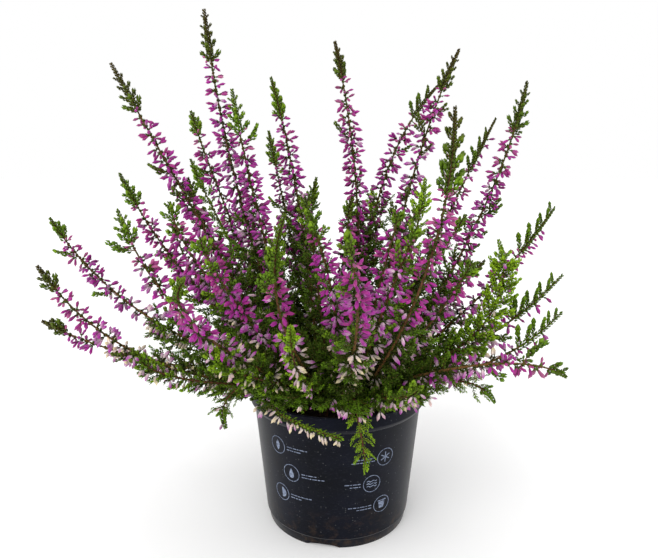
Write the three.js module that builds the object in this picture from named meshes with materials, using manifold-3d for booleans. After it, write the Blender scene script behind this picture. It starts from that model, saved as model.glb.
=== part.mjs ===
// Potted common heather, Calluna vulgaris, in a 12 cm nursery pot.
//
// A thin moulded pot is filled with potting soil. Every flowering spray and
// every leafy shoot is one solid: a woody stem that stands in its own plain
// hole in the soil, with leafy side shoots, flower buds and the scales of its
// green tip raised from it. Millimetres, +Z up, origin at the middle of the
// pot's base.

import * as THREE from 'three';
import { mergeVertices } from 'three/addons/utils/BufferGeometryUtils.js';
import Module from 'manifold-3d';

const wasm = await Module();
wasm.setup();

// ---------------------------------------------------------------- dimensions

const GAP = 0.3; // clearance between pieces that touch

const POT = {
  sides: 36,
  height: 94.3,
  rimRadius: 60,
  rimBand: 8, // height of the straight rim band
  ledgeHeight: 83.2, // where the rim steps out from the body
  topRadius: 57.2, // body just under the rim
  baseRadius: 48.3,
  footHeight: 6.2, // moulded foot band
  footStep: 0.7, // body stands this far out over the foot
  ledgeStep: 0.7, // the rim's underside starts this far out from the body
  edge: 0.5, // bevel on the rim's top edge
  wall: 1.1,
  floor: 1.4,
  coveHeight: 4, // the inside corner between floor and wall
  coveDepth: 1.6,
  notches: 3, // slots in the foot's edge, open to the soil
  notchDepth: 2.6, // how far in from the edge they reach
  notchWidth: 22, // at the ground
  notchTop: 9, // width at the notch's top
  notchHeight: 3.4,
  notchTurn: -102, // degrees from +X to the first notch
  drainHoles: 6,
  drainSides: 6,
  drainRadius: 4,
  drainCircle: 34,
};

const SOIL = {
  sides: 18,
  top: 86.5, // height at the middle
  fall: 2.5, // drop from the middle to the wall
  crown: 30, // radius of the flatter middle
};

const STEM = {
  radius: 1.25, // corner radius of the square stem at the soil
  tipRadius: 0.8,
  rootDepth: 9, // length of stem inside the soil
  straight: 3.5, // height above the soil where a stem starts to lean
  elbow: 14, // height above the soil of the corner it leans from
  rounding: 0.16, // share of the upper curve that the corner rounds off
  spacing: 6.2, // least distance between two stems in the soil
  passing: 4.2, // least distance between the middles of two stems in the air
  spread: 44, // farthest that a stem stands from the pot's axis
  spreadReach: 65, // a stem that leans out farther stands nearer the wall
  searchStep: 1.1, // how finely other places are tried
  searchTries: 400,
};

// Side shoots, buds and scales stand in opposite pairs up the stem. Reach is
// from the stem's axis to the point, first at the foot and then at the top of
// their stretch; rise is how far the point lies up the stem, per reach; room is
// the radius that each keeps free of other stems.
const PAIRS = {
  sideShoot: { spacing: 6, reach: [18, 14], rise: [0.7, 0.7], room: 2.4 },
  bud: { spacing: 3.4, reach: [12, 8.5], rise: [-0.1, 0.45], room: 1.5 },
  leaf: { spacing: 4.2, reach: [16, 6], rise: [0.8, 1], room: 1.8 },
  scale: { spacing: 7, reach: [4.6, 1.8], rise: [1.1, 1], room: 0.8 },
};
const VALLEY = 1.15; // thickness between the pairs, times the stem's
const DRIFT = 0.42; // radians that each pair turns on, past a right angle
const FLOWERS_FROM = 0.36; // share of the bare stem below the first buds
const SHORTER = [1, 0.8, 0.6, 0.4]; // reaches tried where room is short

const EDGE_ROOM = 1; // room that the long edges of a point need

const CLEARANCE = 0.5; // least air between two sprays

const SPRAY_SEED = 4711;

// Each row is one stem: where it passes half way, where its tip ends, and the
// length of its green, flowerless tip.
const FLOWERING = [
  // tall sprays in the middle and to the left
  { mid: [-66, 8, 224], tip: [-87, 20, 342], green: 36 },
  { mid: [-52, -5, 212], tip: [-68, 5, 290], green: 18 },
  { mid: [-26, 22, 210], tip: [-46, 35, 302], green: 26 },
  { mid: [-34, 44, 188], tip: [-51, 62, 268], green: 24 },
  { mid: [14, 18, 208], tip: [-2, 30, 324], green: 24 },
  { mid: [-86, -22, 208], tip: [-137, -15, 302], green: 36 },
  { mid: [-103, 10, 166], tip: [-151, 25, 237], green: 22 },
  { mid: [-89, -50, 152], tip: [-128, -45, 217], green: 20 },
  { mid: [-76, 35, 202], tip: [-108, 60, 282], green: 18 },
  { mid: [-84, 22, 175], tip: [-107, 38, 234], green: 14 },
  // a short spray in the very middle
  { mid: [4, 2, 172], tip: [10, 10, 222], green: 14 },
  // low sprays that reach out to the left
  { mid: [-135, 10, 140], tip: [-198, 16, 207], green: 16 },
  { mid: [-118, -42, 126], tip: [-177, -46, 184], green: 16 },
  { mid: [-124, -15, 115], tip: [-194, -15, 142], green: 16 },
  // sprays that lean towards the front
  { mid: [-78, -40, 174], tip: [-99, -40, 221], green: 10 },
  { mid: [-84, -4, 156], tip: [-109, 2, 206], green: 10 },
  { mid: [-69, -95, 156], tip: [-68, -135, 192], green: 14 },
  { mid: [-59, -66, 168], tip: [-75, -68, 203], green: 8 },
  { mid: [-32, -85, 167], tip: [-26, -110, 219], green: 34 },
  { mid: [-4, -76, 172], tip: [-21, -85, 226], green: 18 },
  { mid: [8, -105, 165], tip: [1, -150, 210], green: 6 },
  { mid: [24, -48, 172], tip: [36, -40, 215], green: 8 },
  { mid: [25, -70, 165], tip: [43, -64, 208], green: 8 },
  { mid: [45, -85, 189], tip: [59, -70, 271], green: 26 },
  { mid: [56, -55, 155], tip: [76, -52, 188], green: 10 },
  // tall sprays to the right
  { mid: [48, 12, 225], tip: [81, 25, 318], green: 26 },
  { mid: [31, 38, 223], tip: [75, 50, 301], green: 20 },
  { mid: [91, 0, 203], tip: [119, 0, 294], green: 24 },
  { mid: [82, 45, 206], tip: [118, 60, 277], green: 30 },
  // low sprays that reach out to the right
  { mid: [102, 10, 156], tip: [147, 10, 215], green: 20 },
  { mid: [94, -18, 130], tip: [143, -20, 174], green: 14 },
  { mid: [88, -40, 120], tip: [135, -42, 155], green: 12 },
  { mid: [88, -65, 130], tip: [129, -68, 123], green: 10 },
  // sprays at the back
  { mid: [-90, 46, 140], tip: [-138, 66, 175], green: 16 },
  { mid: [-78, 68, 155], tip: [-118, 96, 212], green: 18 },
  { mid: [-54, 82, 158], tip: [-86, 122, 204], green: 16 },
  { mid: [-22, 88, 164], tip: [-34, 142, 212], green: 18 },
  { mid: [14, 90, 158], tip: [22, 142, 204], green: 16 },
  { mid: [48, 78, 162], tip: [75, 120, 212], green: 18 },
  { mid: [70, 60, 158], tip: [108, 95, 203], green: 18 },
  { mid: [82, 56, 134], tip: [120, 76, 168], green: 16 },
];

const LEAFY = [
  // thin light green shoots among the sprays
  { mid: [-81, 62, 182], tip: [-119, 98, 248] },
  { mid: [-20, 40, 168], tip: [-15, 52, 234] },
  { mid: [23, 48, 178], tip: [28, 72, 226] },
  { mid: [42, -18, 170], tip: [56, -5, 234] },
  { mid: [92, -30, 145], tip: [96, -34, 198] },
  // shoots that hang over the rim or spread just above it
  { mid: [-100, -48, 116], tip: [-122, -52, 136] },
  { mid: [-112, 18, 114], tip: [-136, 25, 130] },
  { mid: [-53, -72, 126], tip: [-72, -86, 149] },
  { mid: [-22, -80, 130], tip: [-25, -104, 164] },
  { mid: [74, -45, 112], tip: [96, -46, 98] },
  { mid: [32, -72, 112], tip: [40, -98, 128] },
  { mid: [-62, -42, 106], tip: [-70, -44, 80] },
  { mid: [10, -67, 103], tip: [16, -78, 70] },
  { mid: [-38, -57, 99], tip: [3, -76, 89] },
  { mid: [34, 70, 116], tip: [58, 108, 118] },
  { mid: [-30, 70, 114], tip: [-50, 110, 122] },
  // a leafy shoot in the very middle
  { mid: [-12, -16, 156], tip: [-18, -18, 206] },
];

// ------------------------------------------------------------------- helpers

const UP = new THREE.Vector3(0, 0, 1);
const GOLDEN_ANGLE = Math.PI * (3 - Math.sqrt(5));
const MODULUS = 2147483647;
const CORNERS = 4; // a stem's section is a square
const ROUTE_STEPS = 16; // straight stretches that stand for a stem's route
const POT_CHECKS = [0, 0.2, 0.4, 0.6, 0.8, 1]; // where a line is tested against the pot
const CUT = 6; // how far a cutting shape runs past what it cuts
const LEAFY_TIP = 0.22; // share of a leafy shoot that is its tip
const HOLE_ABOVE = 8; // how far the tool that cuts a stem's hole stands out of the soil
const BARE_TO = 0.8; // share of the bend below the first side shoots

// Repeatable random numbers from 0 to 1.
function makeRandom(seed) {
  let state = seed;
  return () => {
    state = (state * 16807) % MODULUS;
    return state / MODULUS;
  };
}

const lerp = THREE.MathUtils.lerp;

function toSolid(geometry) {
  const bare = geometry.clone();
  bare.deleteAttribute('normal');
  bare.deleteAttribute('uv');
  const merged = mergeVertices(bare, 1e-4);
  return new wasm.Manifold(new wasm.Mesh({
    numProp: 3,
    vertProperties: new Float32Array(merged.attributes.position.array),
    triVerts: new Uint32Array(merged.index.array),
  }));
}

function toGeometry(solid) {
  const mesh = solid.getMesh();
  const geometry = new THREE.BufferGeometry();
  geometry.setAttribute('position', new THREE.BufferAttribute(mesh.vertProperties, 3));
  geometry.setIndex([...mesh.triVerts]);
  return geometry;
}

function addPiece(group, name, geometry, look) {
  const faceted = geometry.toNonIndexed();
  faceted.computeVertexNormals();
  const mesh = new THREE.Mesh(faceted, new THREE.MeshStandardMaterial(look));
  mesh.name = name;
  group.add(mesh);
}

// ---------------------------------------------------------------- pot and soil

// A lathe about +Z from [radius, height] points, closed on the axis.
function latheZ(points, sides) {
  const profile = points.map(([r, z]) => new THREE.Vector2(r, z));
  const geometry = new THREE.LatheGeometry(profile, sides);
  geometry.rotateX(Math.PI / 2);
  return geometry;
}

function outerRadius(z) {
  const rise = (z - POT.footHeight) / (POT.ledgeHeight - POT.footHeight);
  const foot = POT.baseRadius + 1 + POT.footStep;
  return lerp(foot, POT.topRadius, rise);
}

const RIM_INNER = POT.rimRadius - POT.wall;

function innerProfile(gap) {
  const ledge = POT.ledgeHeight + POT.wall;
  const low = POT.floor + POT.coveHeight;
  return [
    [outerRadius(low) - POT.wall - gap - POT.coveDepth, POT.floor + gap],
    [outerRadius(low) - POT.wall - gap, low + gap],
    [outerRadius(ledge) - POT.wall - gap, ledge - gap],
  ];
}

// A block across the foot's edge, with sloping ends, reaching as far under the
// ground as over it.
function notchBlock() {
  const { notchDepth, notchWidth, notchTop, notchHeight } = POT;
  const length = notchDepth + CUT;
  const block = new THREE.BoxGeometry(length, 1, notchHeight * 2);
  const corners = block.attributes.position;
  for (let i = 0; i < corners.count; i += 1) {
    const width = corners.getZ(i) > 0 ? notchTop : 2 * notchWidth - notchTop;
    corners.setY(i, corners.getY(i) * width);
  }
  block.translate(POT.baseRadius - notchDepth + length / 2, 0, 0);
  return block;
}

function buildPot() {
  const rimBottom = POT.height - POT.rimBand;
  const outline = [
    [0, 0],
    [POT.baseRadius, 0],
    [POT.baseRadius + 1, POT.footHeight],
    [outerRadius(POT.footHeight + 1), POT.footHeight + 1],
    [POT.topRadius, POT.ledgeHeight],
    [POT.topRadius + POT.ledgeStep, POT.ledgeHeight],
    [POT.rimRadius, rimBottom],
    [POT.rimRadius, POT.height - POT.edge],
    [POT.rimRadius - POT.edge, POT.height],
    [RIM_INNER, POT.height],
    [RIM_INNER, rimBottom],
    ...innerProfile(0).reverse(),
    [0, POT.floor],
  ];
  let solid = toSolid(latheZ(outline, POT.sides));
  for (let i = 0; i < POT.notches; i += 1) {
    const notch = notchBlock();
    notch.rotateZ(THREE.MathUtils.degToRad(POT.notchTurn) + (i * 2 * Math.PI) / POT.notches);
    solid = solid.subtract(toSolid(notch));
  }
  for (let i = 0; i < POT.drainHoles; i += 1) {
    const { drainRadius, drainSides } = POT;
    const hole = new THREE.CylinderGeometry(drainRadius, drainRadius, CUT, drainSides);
    hole.rotateX(Math.PI / 2);
    hole.translate(POT.drainCircle, 0, 0);
    hole.rotateZ(((i + 0.5) * 2 * Math.PI) / POT.drainHoles);
    solid = solid.subtract(toSolid(hole));
  }
  return solid;
}

function soilHeight(radius) {
  return SOIL.top - SOIL.fall * (radius / POT.topRadius) ** 2;
}

function buildSoil(stems) {
  const wall = innerProfile(GAP);
  const rim = outerRadius(soilHeight(POT.topRadius)) - POT.wall - GAP;
  const outline = [[0, wall[0][1]], wall[0], wall[1], [rim, soilHeight(rim)]];
  outline.push([SOIL.crown, soilHeight(SOIL.crown)], [0, SOIL.top]);
  let solid = toSolid(latheZ(outline, SOIL.sides));
  for (const stem of stems) {
    solid = solid.subtract(toSolid(stem.hole()));
  }
  return solid;
}

// ---------------------------------------------------------------- stem routes

// A stem rises straight out of the soil, leans over at a rounded elbow, and
// follows one quadratic curve through its middle point to its tip.
class StemRoute {
  constructor(base, mid, tip) {
    const foot = soilHeight(base.length());
    const root = new THREE.Vector3(base.x, base.y, foot - STEM.rootDepth);
    const lean = new THREE.Vector3(base.x, base.y, foot + STEM.straight);
    const elbow = new THREE.Vector3(base.x, base.y, foot + STEM.elbow);
    const through = new THREE.Vector3(...mid);
    const end = new THREE.Vector3(...tip);
    const control = through.clone().multiplyScalar(2);
    control.addScaledVector(elbow, -0.5).addScaledVector(end, -0.5);
    const whole = new THREE.QuadraticBezierCurve3(elbow, control, end);
    const start = whole.getPoint(STEM.rounding);
    const restControl = control.clone().lerp(end, STEM.rounding);
    this.curve = new THREE.CurvePath();
    this.curve.add(new THREE.LineCurve3(root, lean));
    this.curve.add(new THREE.QuadraticBezierCurve3(lean, elbow, start));
    this.curve.add(new THREE.QuadraticBezierCurve3(start, restControl, end));
    const lengths = this.curve.getCurveLengths();
    this.length = lengths[2];
    this.bendEnd = lengths[1];
    this.side = through.clone().sub(elbow).cross(UP).normalize();
    this.root = root;
  }

  // Position and frame at a length along the stem.
  at(length) {
    const u = THREE.MathUtils.clamp(length / this.length, 0, 1);
    const point = this.curve.getPoint(u);
    const tangent = this.curve.getTangent(Math.min(Math.max(u, 0.001), 0.999));
    const across = this.side.clone().addScaledVector(tangent, -this.side.dot(tangent));
    across.normalize();
    return { point, tangent, across, normal: tangent.clone().cross(across) };
  }
}

// A four-cornered solid through rings that stand square to a stem route. Each
// ring gives its length along the route, its turn, and for each corner how far
// it reaches out and how far it rises. Faces fold along the shorter corners, so
// a corner that reaches out becomes a point with four faces of its own.
function ringedSolid(route, rings) {
  const points = [];
  const faces = [];
  for (const ring of rings) {
    const frame = route.at(ring.length);
    for (let corner = 0; corner < CORNERS; corner += 1) {
      const angle = ring.turn + (corner * 2 * Math.PI) / CORNERS;
      const point = frame.point.clone();
      point.addScaledVector(frame.normal, Math.cos(angle) * ring.reach[corner]);
      point.addScaledVector(frame.across, -Math.sin(angle) * ring.reach[corner]);
      point.addScaledVector(frame.tangent, ring.rise[corner]);
      points.push(point.x, point.y, point.z);
    }
  }
  for (let low = 0; low < rings.length - 1; low += 1) {
    for (let corner = 0; corner < CORNERS; corner += 1) {
      const next = (corner + 1) % CORNERS;
      const [a, b] = [low * CORNERS + corner, low * CORNERS + next];
      const [c, d] = [b + CORNERS, a + CORNERS];
      const [here, above] = [rings[low].reach, rings[low + 1].reach];
      if (here[corner] + above[next] < here[next] + above[corner]) {
        faces.push(a, b, c, a, c, d);
      } else {
        faces.push(a, b, d, b, c, d);
      }
    }
  }
  const last = (rings.length - 1) * CORNERS;
  const tip = route.at(route.length).point;
  points.push(tip.x, tip.y, tip.z);
  faces.push(0, 2, 1, 0, 3, 2);
  for (let corner = 0; corner < CORNERS; corner += 1) {
    faces.push(last + corner, last + ((corner + 1) % CORNERS), last + CORNERS);
  }
  const geometry = new THREE.BufferGeometry();
  geometry.setAttribute('position', new THREE.Float32BufferAttribute(points, 3));
  geometry.setIndex(faces);
  return geometry;
}

// ---------------------------------------------------------- room between sprays

// Least distance between two line segments.
function segmentDistance(p1, q1, p2, q2) {
  const d1 = q1.clone().sub(p1);
  const d2 = q2.clone().sub(p2);
  const r = p1.clone().sub(p2);
  const a = d1.dot(d1);
  const e = d2.dot(d2);
  const f = d2.dot(r);
  const c = d1.dot(r);
  const b = d1.dot(d2);
  const denominator = a * e - b * b;
  let s = denominator > 1e-9 ? THREE.MathUtils.clamp((b * f - c * e) / denominator, 0, 1) : 0;
  let t = (b * s + f) / e;
  if (t < 0) {
    t = 0;
    s = THREE.MathUtils.clamp(-c / a, 0, 1);
  } else if (t > 1) {
    t = 1;
    s = THREE.MathUtils.clamp((b - c) / a, 0, 1);
  }
  return p1.clone().addScaledVector(d1, s).distanceTo(p2.clone().addScaledVector(d2, t));
}

// True where a point with some thickness around it stays off pot and soil.
function isClearOfPot(point, radius) {
  const margin = radius + CLEARANCE;
  const reach = Math.hypot(point.x, point.y);
  if (point.z > POT.height + margin) return true;
  if (reach > POT.rimRadius + margin) return true;
  return reach < RIM_INNER - margin && point.z > soilHeight(reach) + margin;
}

// Remembers every thick line that is taken, and which stem owns it.
class Room {
  constructor() {
    this.taken = [];
  }

  add(owner, line) {
    this.taken.push({ owner, ...line });
  }

  isFree(owner, { from, to, radius }) {
    for (const share of POT_CHECKS) {
      if (!isClearOfPot(from.clone().lerp(to, share), radius)) return false;
    }
    const reach = from.distanceTo(to);
    return this.taken.every((other) => {
      if (other.owner === owner) return true;
      const least = radius + other.radius + CLEARANCE;
      const apart = to.distanceTo(other.to);
      if (apart > least + reach + other.from.distanceTo(other.to)) return true;
      return segmentDistance(from, to, other.from, other.to) > least;
    });
  }
}

// ------------------------------------------------------------ stems and sprays

class Stem {
  constructor(row, route, flowering) {
    this.route = route;
    this.flowering = flowering;
    this.green = row.green ?? this.route.length * LEAFY_TIP;
    this.greenStart = this.route.length - this.green;
    this.rings = [];
    this.pairs = 0;
  }

  radiusAt(length) {
    return lerp(STEM.radius, STEM.tipRadius, length / this.route.length);
  }

  reserve(room) {
    for (let i = 0; i < ROUTE_STEPS; i += 1) {
      const low = (this.route.length * i) / ROUTE_STEPS;
      const high = (this.route.length * (i + 1)) / ROUTE_STEPS;
      room.add(this, {
        from: this.route.at(low).point,
        to: this.route.at(high).point,
        radius: STEM.radius * VALLEY,
      });
    }
  }

  addPlainRing(length) {
    const reach = Array(CORNERS).fill(this.radiusAt(length));
    this.rings.push({ length, reach, rise: Array(CORNERS).fill(0), turn: 0 });
  }

  // The three lines that a point spans: its own axis and its two long edges,
  // which run back to the stem one spacing below and above.
  pointLines(length, outward, out, rise, kind) {
    const frame = this.route.at(length);
    const to = frame.point.clone().addScaledVector(outward, out);
    to.addScaledVector(frame.tangent, out * rise);
    const below = this.route.at(length - kind.spacing).point;
    const above = this.route.at(length + kind.spacing).point;
    return [
      { from: frame.point.clone().addScaledVector(outward, STEM.radius), to, radius: kind.room },
      { from: below.addScaledVector(outward, STEM.radius), to, radius: EDGE_ROOM },
      { from: above.addScaledVector(outward, STEM.radius), to, radius: EDGE_ROOM },
    ];
  }

  // One pair of points that stand out from the stem, on every second corner.
  // A point that would meet another stem is made shorter, or left out.
  addPair(room, kind, length, out, rise) {
    const turn = this.pairs * DRIFT;
    const frame = this.route.at(length);
    const valley = Math.min(this.radiusAt(length) * VALLEY, out * 0.5);
    const ring = { length, turn, reach: Array(CORNERS).fill(valley), rise: Array(CORNERS).fill(0) };
    for (const corner of [this.pairs % 2, (this.pairs % 2) + 2]) {
      const angle = turn + (corner * 2 * Math.PI) / CORNERS;
      const outward = frame.normal.clone().multiplyScalar(Math.cos(angle));
      outward.addScaledVector(frame.across, -Math.sin(angle));
      for (const share of SHORTER) {
        const lines = this.pointLines(length, outward, out * share, rise, kind);
        if (out * share > valley && lines.every((line) => room.isFree(this, line))) {
          lines.forEach((line) => room.add(this, line));
          ring.reach[corner] = out * share;
          ring.rise[corner] = out * share * rise;
          break;
        }
      }
    }
    this.rings.push(ring);
    this.pairs += 1;
  }

  addPairs(room, random, kind, low, high) {
    const count = Math.max(2, Math.round((high - low) / kind.spacing));
    for (let i = 0; i < count; i += 1) {
      const share = i / count;
      const out = lerp(kind.reach[0], kind.reach[1], share) * (0.88 + random() * 0.24);
      const rise = lerp(kind.rise[0], kind.rise[1], share);
      this.addPair(room, kind, lerp(low, high, share), out, rise);
    }
  }

  // Plain hole in the soil, one gap wider than the stem.
  hole() {
    const wide = STEM.radius + GAP * Math.SQRT2;
    const height = STEM.rootDepth + GAP + HOLE_ABOVE;
    const cutter = new THREE.CylinderGeometry(wide, wide, height, CORNERS);
    cutter.translate(0, height / 2 - GAP, 0);
    const { root, side } = this.route;
    const normal = UP.clone().cross(side);
    const frame = new THREE.Matrix4().makeBasis(normal, UP, side).setPosition(root);
    return cutter.applyMatrix4(frame);
  }

  // Bare stem, side shoots, then buds or leaves, then the scales of the tip.
  grow(room, random) {
    const { bendEnd, length } = this.route;
    const straightEnd = STEM.rootDepth + STEM.straight;
    const lowest = this.flowering ? PAIRS.sideShoot : PAIRS.leaf;
    const leafStart = lerp(straightEnd, bendEnd, BARE_TO);
    const flowersFrom = lerp(leafStart, this.greenStart, FLOWERS_FROM);
    this.addPlainRing(0);
    this.addPlainRing(straightEnd);
    this.addPlainRing(lerp(straightEnd, leafStart - lowest.spacing, 0.5));
    this.addPlainRing(leafStart - lowest.spacing);
    if (this.flowering) {
      this.addPairs(room, random, PAIRS.sideShoot, leafStart, flowersFrom);
      this.addPairs(room, random, PAIRS.bud, flowersFrom, this.greenStart);
    } else {
      this.addPairs(room, random, PAIRS.leaf, leafStart, this.greenStart);
    }
    this.addPairs(room, random, PAIRS.scale, this.greenStart, length);
  }
}

function routePoints(route) {
  return Array.from({ length: ROUTE_STEPS + 1 }, (_, i) => (
    route.at((route.length * i) / ROUTE_STEPS).point
  ));
}

function areApart(points, others, least) {
  for (let i = 0; i < ROUTE_STEPS; i += 1) {
    for (let j = 0; j < ROUTE_STEPS; j += 1) {
      const distance = segmentDistance(points[i], points[i + 1], others[j], others[j + 1]);
      if (distance < least) return false;
    }
  }
  return true;
}

// Places in the soil on the side that a stem leans to, nearest first.
function* basesFor(mid) {
  const reach = Math.hypot(mid[0], mid[1]);
  const angle = Math.atan2(mid[1], mid[0]);
  const radius = STEM.spread * (1 - Math.exp(-reach / STEM.spreadReach));
  for (let step = 0; step < STEM.searchTries; step += 1) {
    const offset = STEM.searchStep * Math.sqrt(step);
    const x = radius * Math.cos(angle) + offset * Math.cos(step * GOLDEN_ANGLE);
    const y = radius * Math.sin(angle) + offset * Math.sin(step * GOLDEN_ANGLE);
    if (Math.hypot(x, y) < STEM.spread) yield new THREE.Vector3(x, y, 0);
  }
}

// Stands each stem at the nearest place from which it passes clear of the
// stems before it.
function placeRoutes(rows) {
  const placed = [];
  for (const row of rows) {
    let chosen = null;
    for (const base of basesFor(row.mid)) {
      const route = new StemRoute(base, row.mid, row.tip);
      const points = routePoints(route);
      const isClear = placed.every((other) => (
        other.base.distanceTo(base) > STEM.spacing
        && areApart(points, other.points, STEM.passing)
      ));
      if (isClear) {
        chosen = { base, route, points };
        break;
      }
    }
    if (chosen === null) throw new Error(`no room for the stem to ${row.tip}`);
    placed.push(chosen);
  }
  return placed.map(({ route }) => route);
}

// ------------------------------------------------------------------- assembly

const LOOKS = {
  pot: { color: 0x1b1c22, roughness: 0.5, metalness: 0 },
  soil: { color: 0x3a281c, roughness: 0.95, metalness: 0 },
  flowering: { color: 0xaa3f96, roughness: 0.7, metalness: 0 },
  leafy: { color: 0x6a9a2c, roughness: 0.7, metalness: 0 },
};

function buildHeather() {
  const group = new THREE.Group();
  const rows = [...FLOWERING, ...LEAFY];
  const routes = placeRoutes(rows);
  const stems = rows.map((row, i) => new Stem(row, routes[i], i < FLOWERING.length));
  const room = new Room();
  stems.forEach((stem) => stem.reserve(room));
  stems.forEach((stem, i) => stem.grow(room, makeRandom(SPRAY_SEED + i)));
  addPiece(group, 'pot', toGeometry(buildPot()), LOOKS.pot);
  addPiece(group, 'potting_soil', toGeometry(buildSoil(stems)), LOOKS.soil);
  stems.forEach((stem, i) => {
    const kind = stem.flowering ? 'flowering_spray' : 'leafy_shoot';
    const number = stem.flowering ? i + 1 : i + 1 - FLOWERING.length;
    const name = `${kind}_${String(number).padStart(2, '0')}`;
    const geometry = ringedSolid(stem.route, stem.rings);
    addPiece(group, name, geometry, LOOKS[stem.flowering ? 'flowering' : 'leafy']);
  });
  return group;
}

const group = buildHeather();

export default group;
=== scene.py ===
# %% [markdown]
# # A potted heather, dressed in Blender
#
# The plant is a common heather, *Calluna vulgaris*, of the kind whose buds
# colour up and never open. It grows in a thin black nursery pot. The packed
# CAD model already says where the pot, the soil and every stem stand, so this
# lesson loads it first and then replaces its plain solids with finer ones.

# %% Load the frame
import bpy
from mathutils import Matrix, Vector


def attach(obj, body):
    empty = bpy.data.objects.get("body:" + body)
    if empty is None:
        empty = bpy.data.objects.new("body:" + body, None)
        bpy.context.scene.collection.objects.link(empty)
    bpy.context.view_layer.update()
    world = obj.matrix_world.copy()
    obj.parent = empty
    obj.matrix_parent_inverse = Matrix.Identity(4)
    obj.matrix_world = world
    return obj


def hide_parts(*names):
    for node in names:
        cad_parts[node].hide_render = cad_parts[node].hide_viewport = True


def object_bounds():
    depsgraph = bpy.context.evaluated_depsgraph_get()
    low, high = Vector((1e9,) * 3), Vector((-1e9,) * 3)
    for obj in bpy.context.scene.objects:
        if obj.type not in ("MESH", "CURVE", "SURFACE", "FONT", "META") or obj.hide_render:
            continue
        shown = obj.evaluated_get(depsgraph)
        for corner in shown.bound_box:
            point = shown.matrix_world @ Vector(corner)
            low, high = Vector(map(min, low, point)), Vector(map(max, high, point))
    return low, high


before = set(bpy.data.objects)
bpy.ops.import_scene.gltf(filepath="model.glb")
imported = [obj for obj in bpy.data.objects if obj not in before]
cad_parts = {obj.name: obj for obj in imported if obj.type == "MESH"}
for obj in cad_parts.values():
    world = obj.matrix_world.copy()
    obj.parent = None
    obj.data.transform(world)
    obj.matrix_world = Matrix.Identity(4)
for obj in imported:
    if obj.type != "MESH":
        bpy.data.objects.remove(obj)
cad_low, cad_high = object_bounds()
print("CAD nodes:", len(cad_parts))

# %% [markdown]
# ## Tools for the whole lesson
#
# Blender counts in metres, but a heather is easier to think of in
# millimetres, so shapes are made in millimetres and scaled once, when they
# become an object. Patterns are given by the size of one cell and turned to
# cells per metre. Colours are typed as the hex codes that a screen shows, and
# one function turns them to the linear light that shaders need.

# %% Imports, units and colours
import math
import random

import bmesh
import bpy
import numpy as np
from mathutils import Matrix, Vector, noise

MM = 0.001


def cells(size):
    """How many cells of a pattern lie in a metre, if one is so many millimetres wide."""
    return 1 / (size * MM)


def linear(code):
    """An sRGB hex colour as linear red, green, blue and a full alpha."""
    parts = [int(code[i:i + 2], 16) / 255 for i in (0, 2, 4)]
    return [c / 12.92 if c <= 0.04045 else ((c + 0.055) / 1.055) ** 2.4 for c in parts] + [1.0]


def mix(low, high, share):
    """The value that lies a share of the way from low to high."""
    return low + (high - low) * share


print("mid grey is", [round(c, 3) for c in linear("808080")])

# %% [markdown]
# ## Camera
#
# The camera stands close in front of the plant, a little above the pot, and
# looks down on it. Because it is near, the front sprays look larger than the
# back ones. Its lens follows from the focal length in pixels of a picture
# that is 658 by 558 pixels.

# %% Camera
PICTURE_WIDTH = 658
FOCAL_PIXELS = 560
SENSOR_WIDTH = 36.0
CAMERA_PLACE = (-5.8, -369.5, 238.0)
CAMERA_DOWN = 10.9

lens = bpy.data.cameras.new("camera")
lens.sensor_width = SENSOR_WIDTH
lens.lens = FOCAL_PIXELS / PICTURE_WIDTH * SENSOR_WIDTH
lens.clip_start = 0.01
lens.clip_end = 20.0
camera = bpy.data.objects.new("camera", lens)
camera.location = Vector(CAMERA_PLACE) * MM
camera.rotation_euler = (math.radians(90 - CAMERA_DOWN), 0.0, 0.0)
bpy.context.scene.collection.objects.link(camera)
bpy.context.scene.camera = camera
print("lens", round(lens.lens, 2), "mm")

# %% [markdown]
# ## One function for shader nodes
#
# A material is a small graph. Every node is added the same way: its kind,
# its settings, and its inputs, where an input is either a fixed value or the
# output of a node made before. The function hands that output on, so the
# graph reads like a list of sums.

# %% Nodes and materials
def add_node(tree, kind, inputs=None, stops=None, output=0, **settings):
    """Adds one node and gives its output; inputs maps a socket to a value or an output."""
    node = tree.nodes.new("ShaderNode" + kind)
    for key, value in settings.items():
        setattr(node, key, value)
    if stops:
        ramp = node.color_ramp.elements
        while len(ramp) < len(stops):
            ramp.new(0.5)
        for element, (place, code) in zip(ramp, stops):
            element.position = place
            element.color = linear(code)
    for key, value in (inputs or {}).items():
        if isinstance(value, bpy.types.NodeSocket):
            tree.links.new(value, node.inputs[key])
        else:
            node.inputs[key].default_value = value
    return node.outputs[output] if node.outputs else None


def new_material(name):
    """An empty material and its node tree."""
    material = bpy.data.materials.new(name)
    material.use_nodes = True
    material.node_tree.nodes.clear()
    return material, material.node_tree


def finish_material(tree, **inputs):
    """Ends a material with one Principled shader."""
    named = {key.replace("_", " "): value for key, value in inputs.items()}
    shader = add_node(tree, "BsdfPrincipled", named)
    add_node(tree, "OutputMaterial", {"Surface": shader})


print("node helpers ready")

# %% [markdown]
# ## Floor and light
#
# The plant stands on a plain pale floor under an even white sky, as in a
# light tent. A very soft sun from the front left gives the buds and leaves a
# lit and a shaded side, and one weak lamp at each side draws the pale edges
# on the round black pot.

# %% Floor and lights
FLOOR_REACH = 15.0
PLANT_MIDDLE = (0, 0, 150)
LAMP_SIZE = 0.4

paper, tree = new_material("matt_paper_floor")
finish_material(tree, Base_Color=linear("FCFCFC"), Roughness=0.9, Specular_IOR_Level=0.2)
bm = bmesh.new()
bmesh.ops.create_grid(bm, x_segments=1, y_segments=1, size=FLOOR_REACH)
mesh = bpy.data.meshes.new("floor")
bm.to_mesh(mesh)
bm.free()
floor = bpy.data.objects.new("floor", mesh)
mesh.materials.append(paper)
bpy.context.scene.collection.objects.link(floor)

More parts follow.
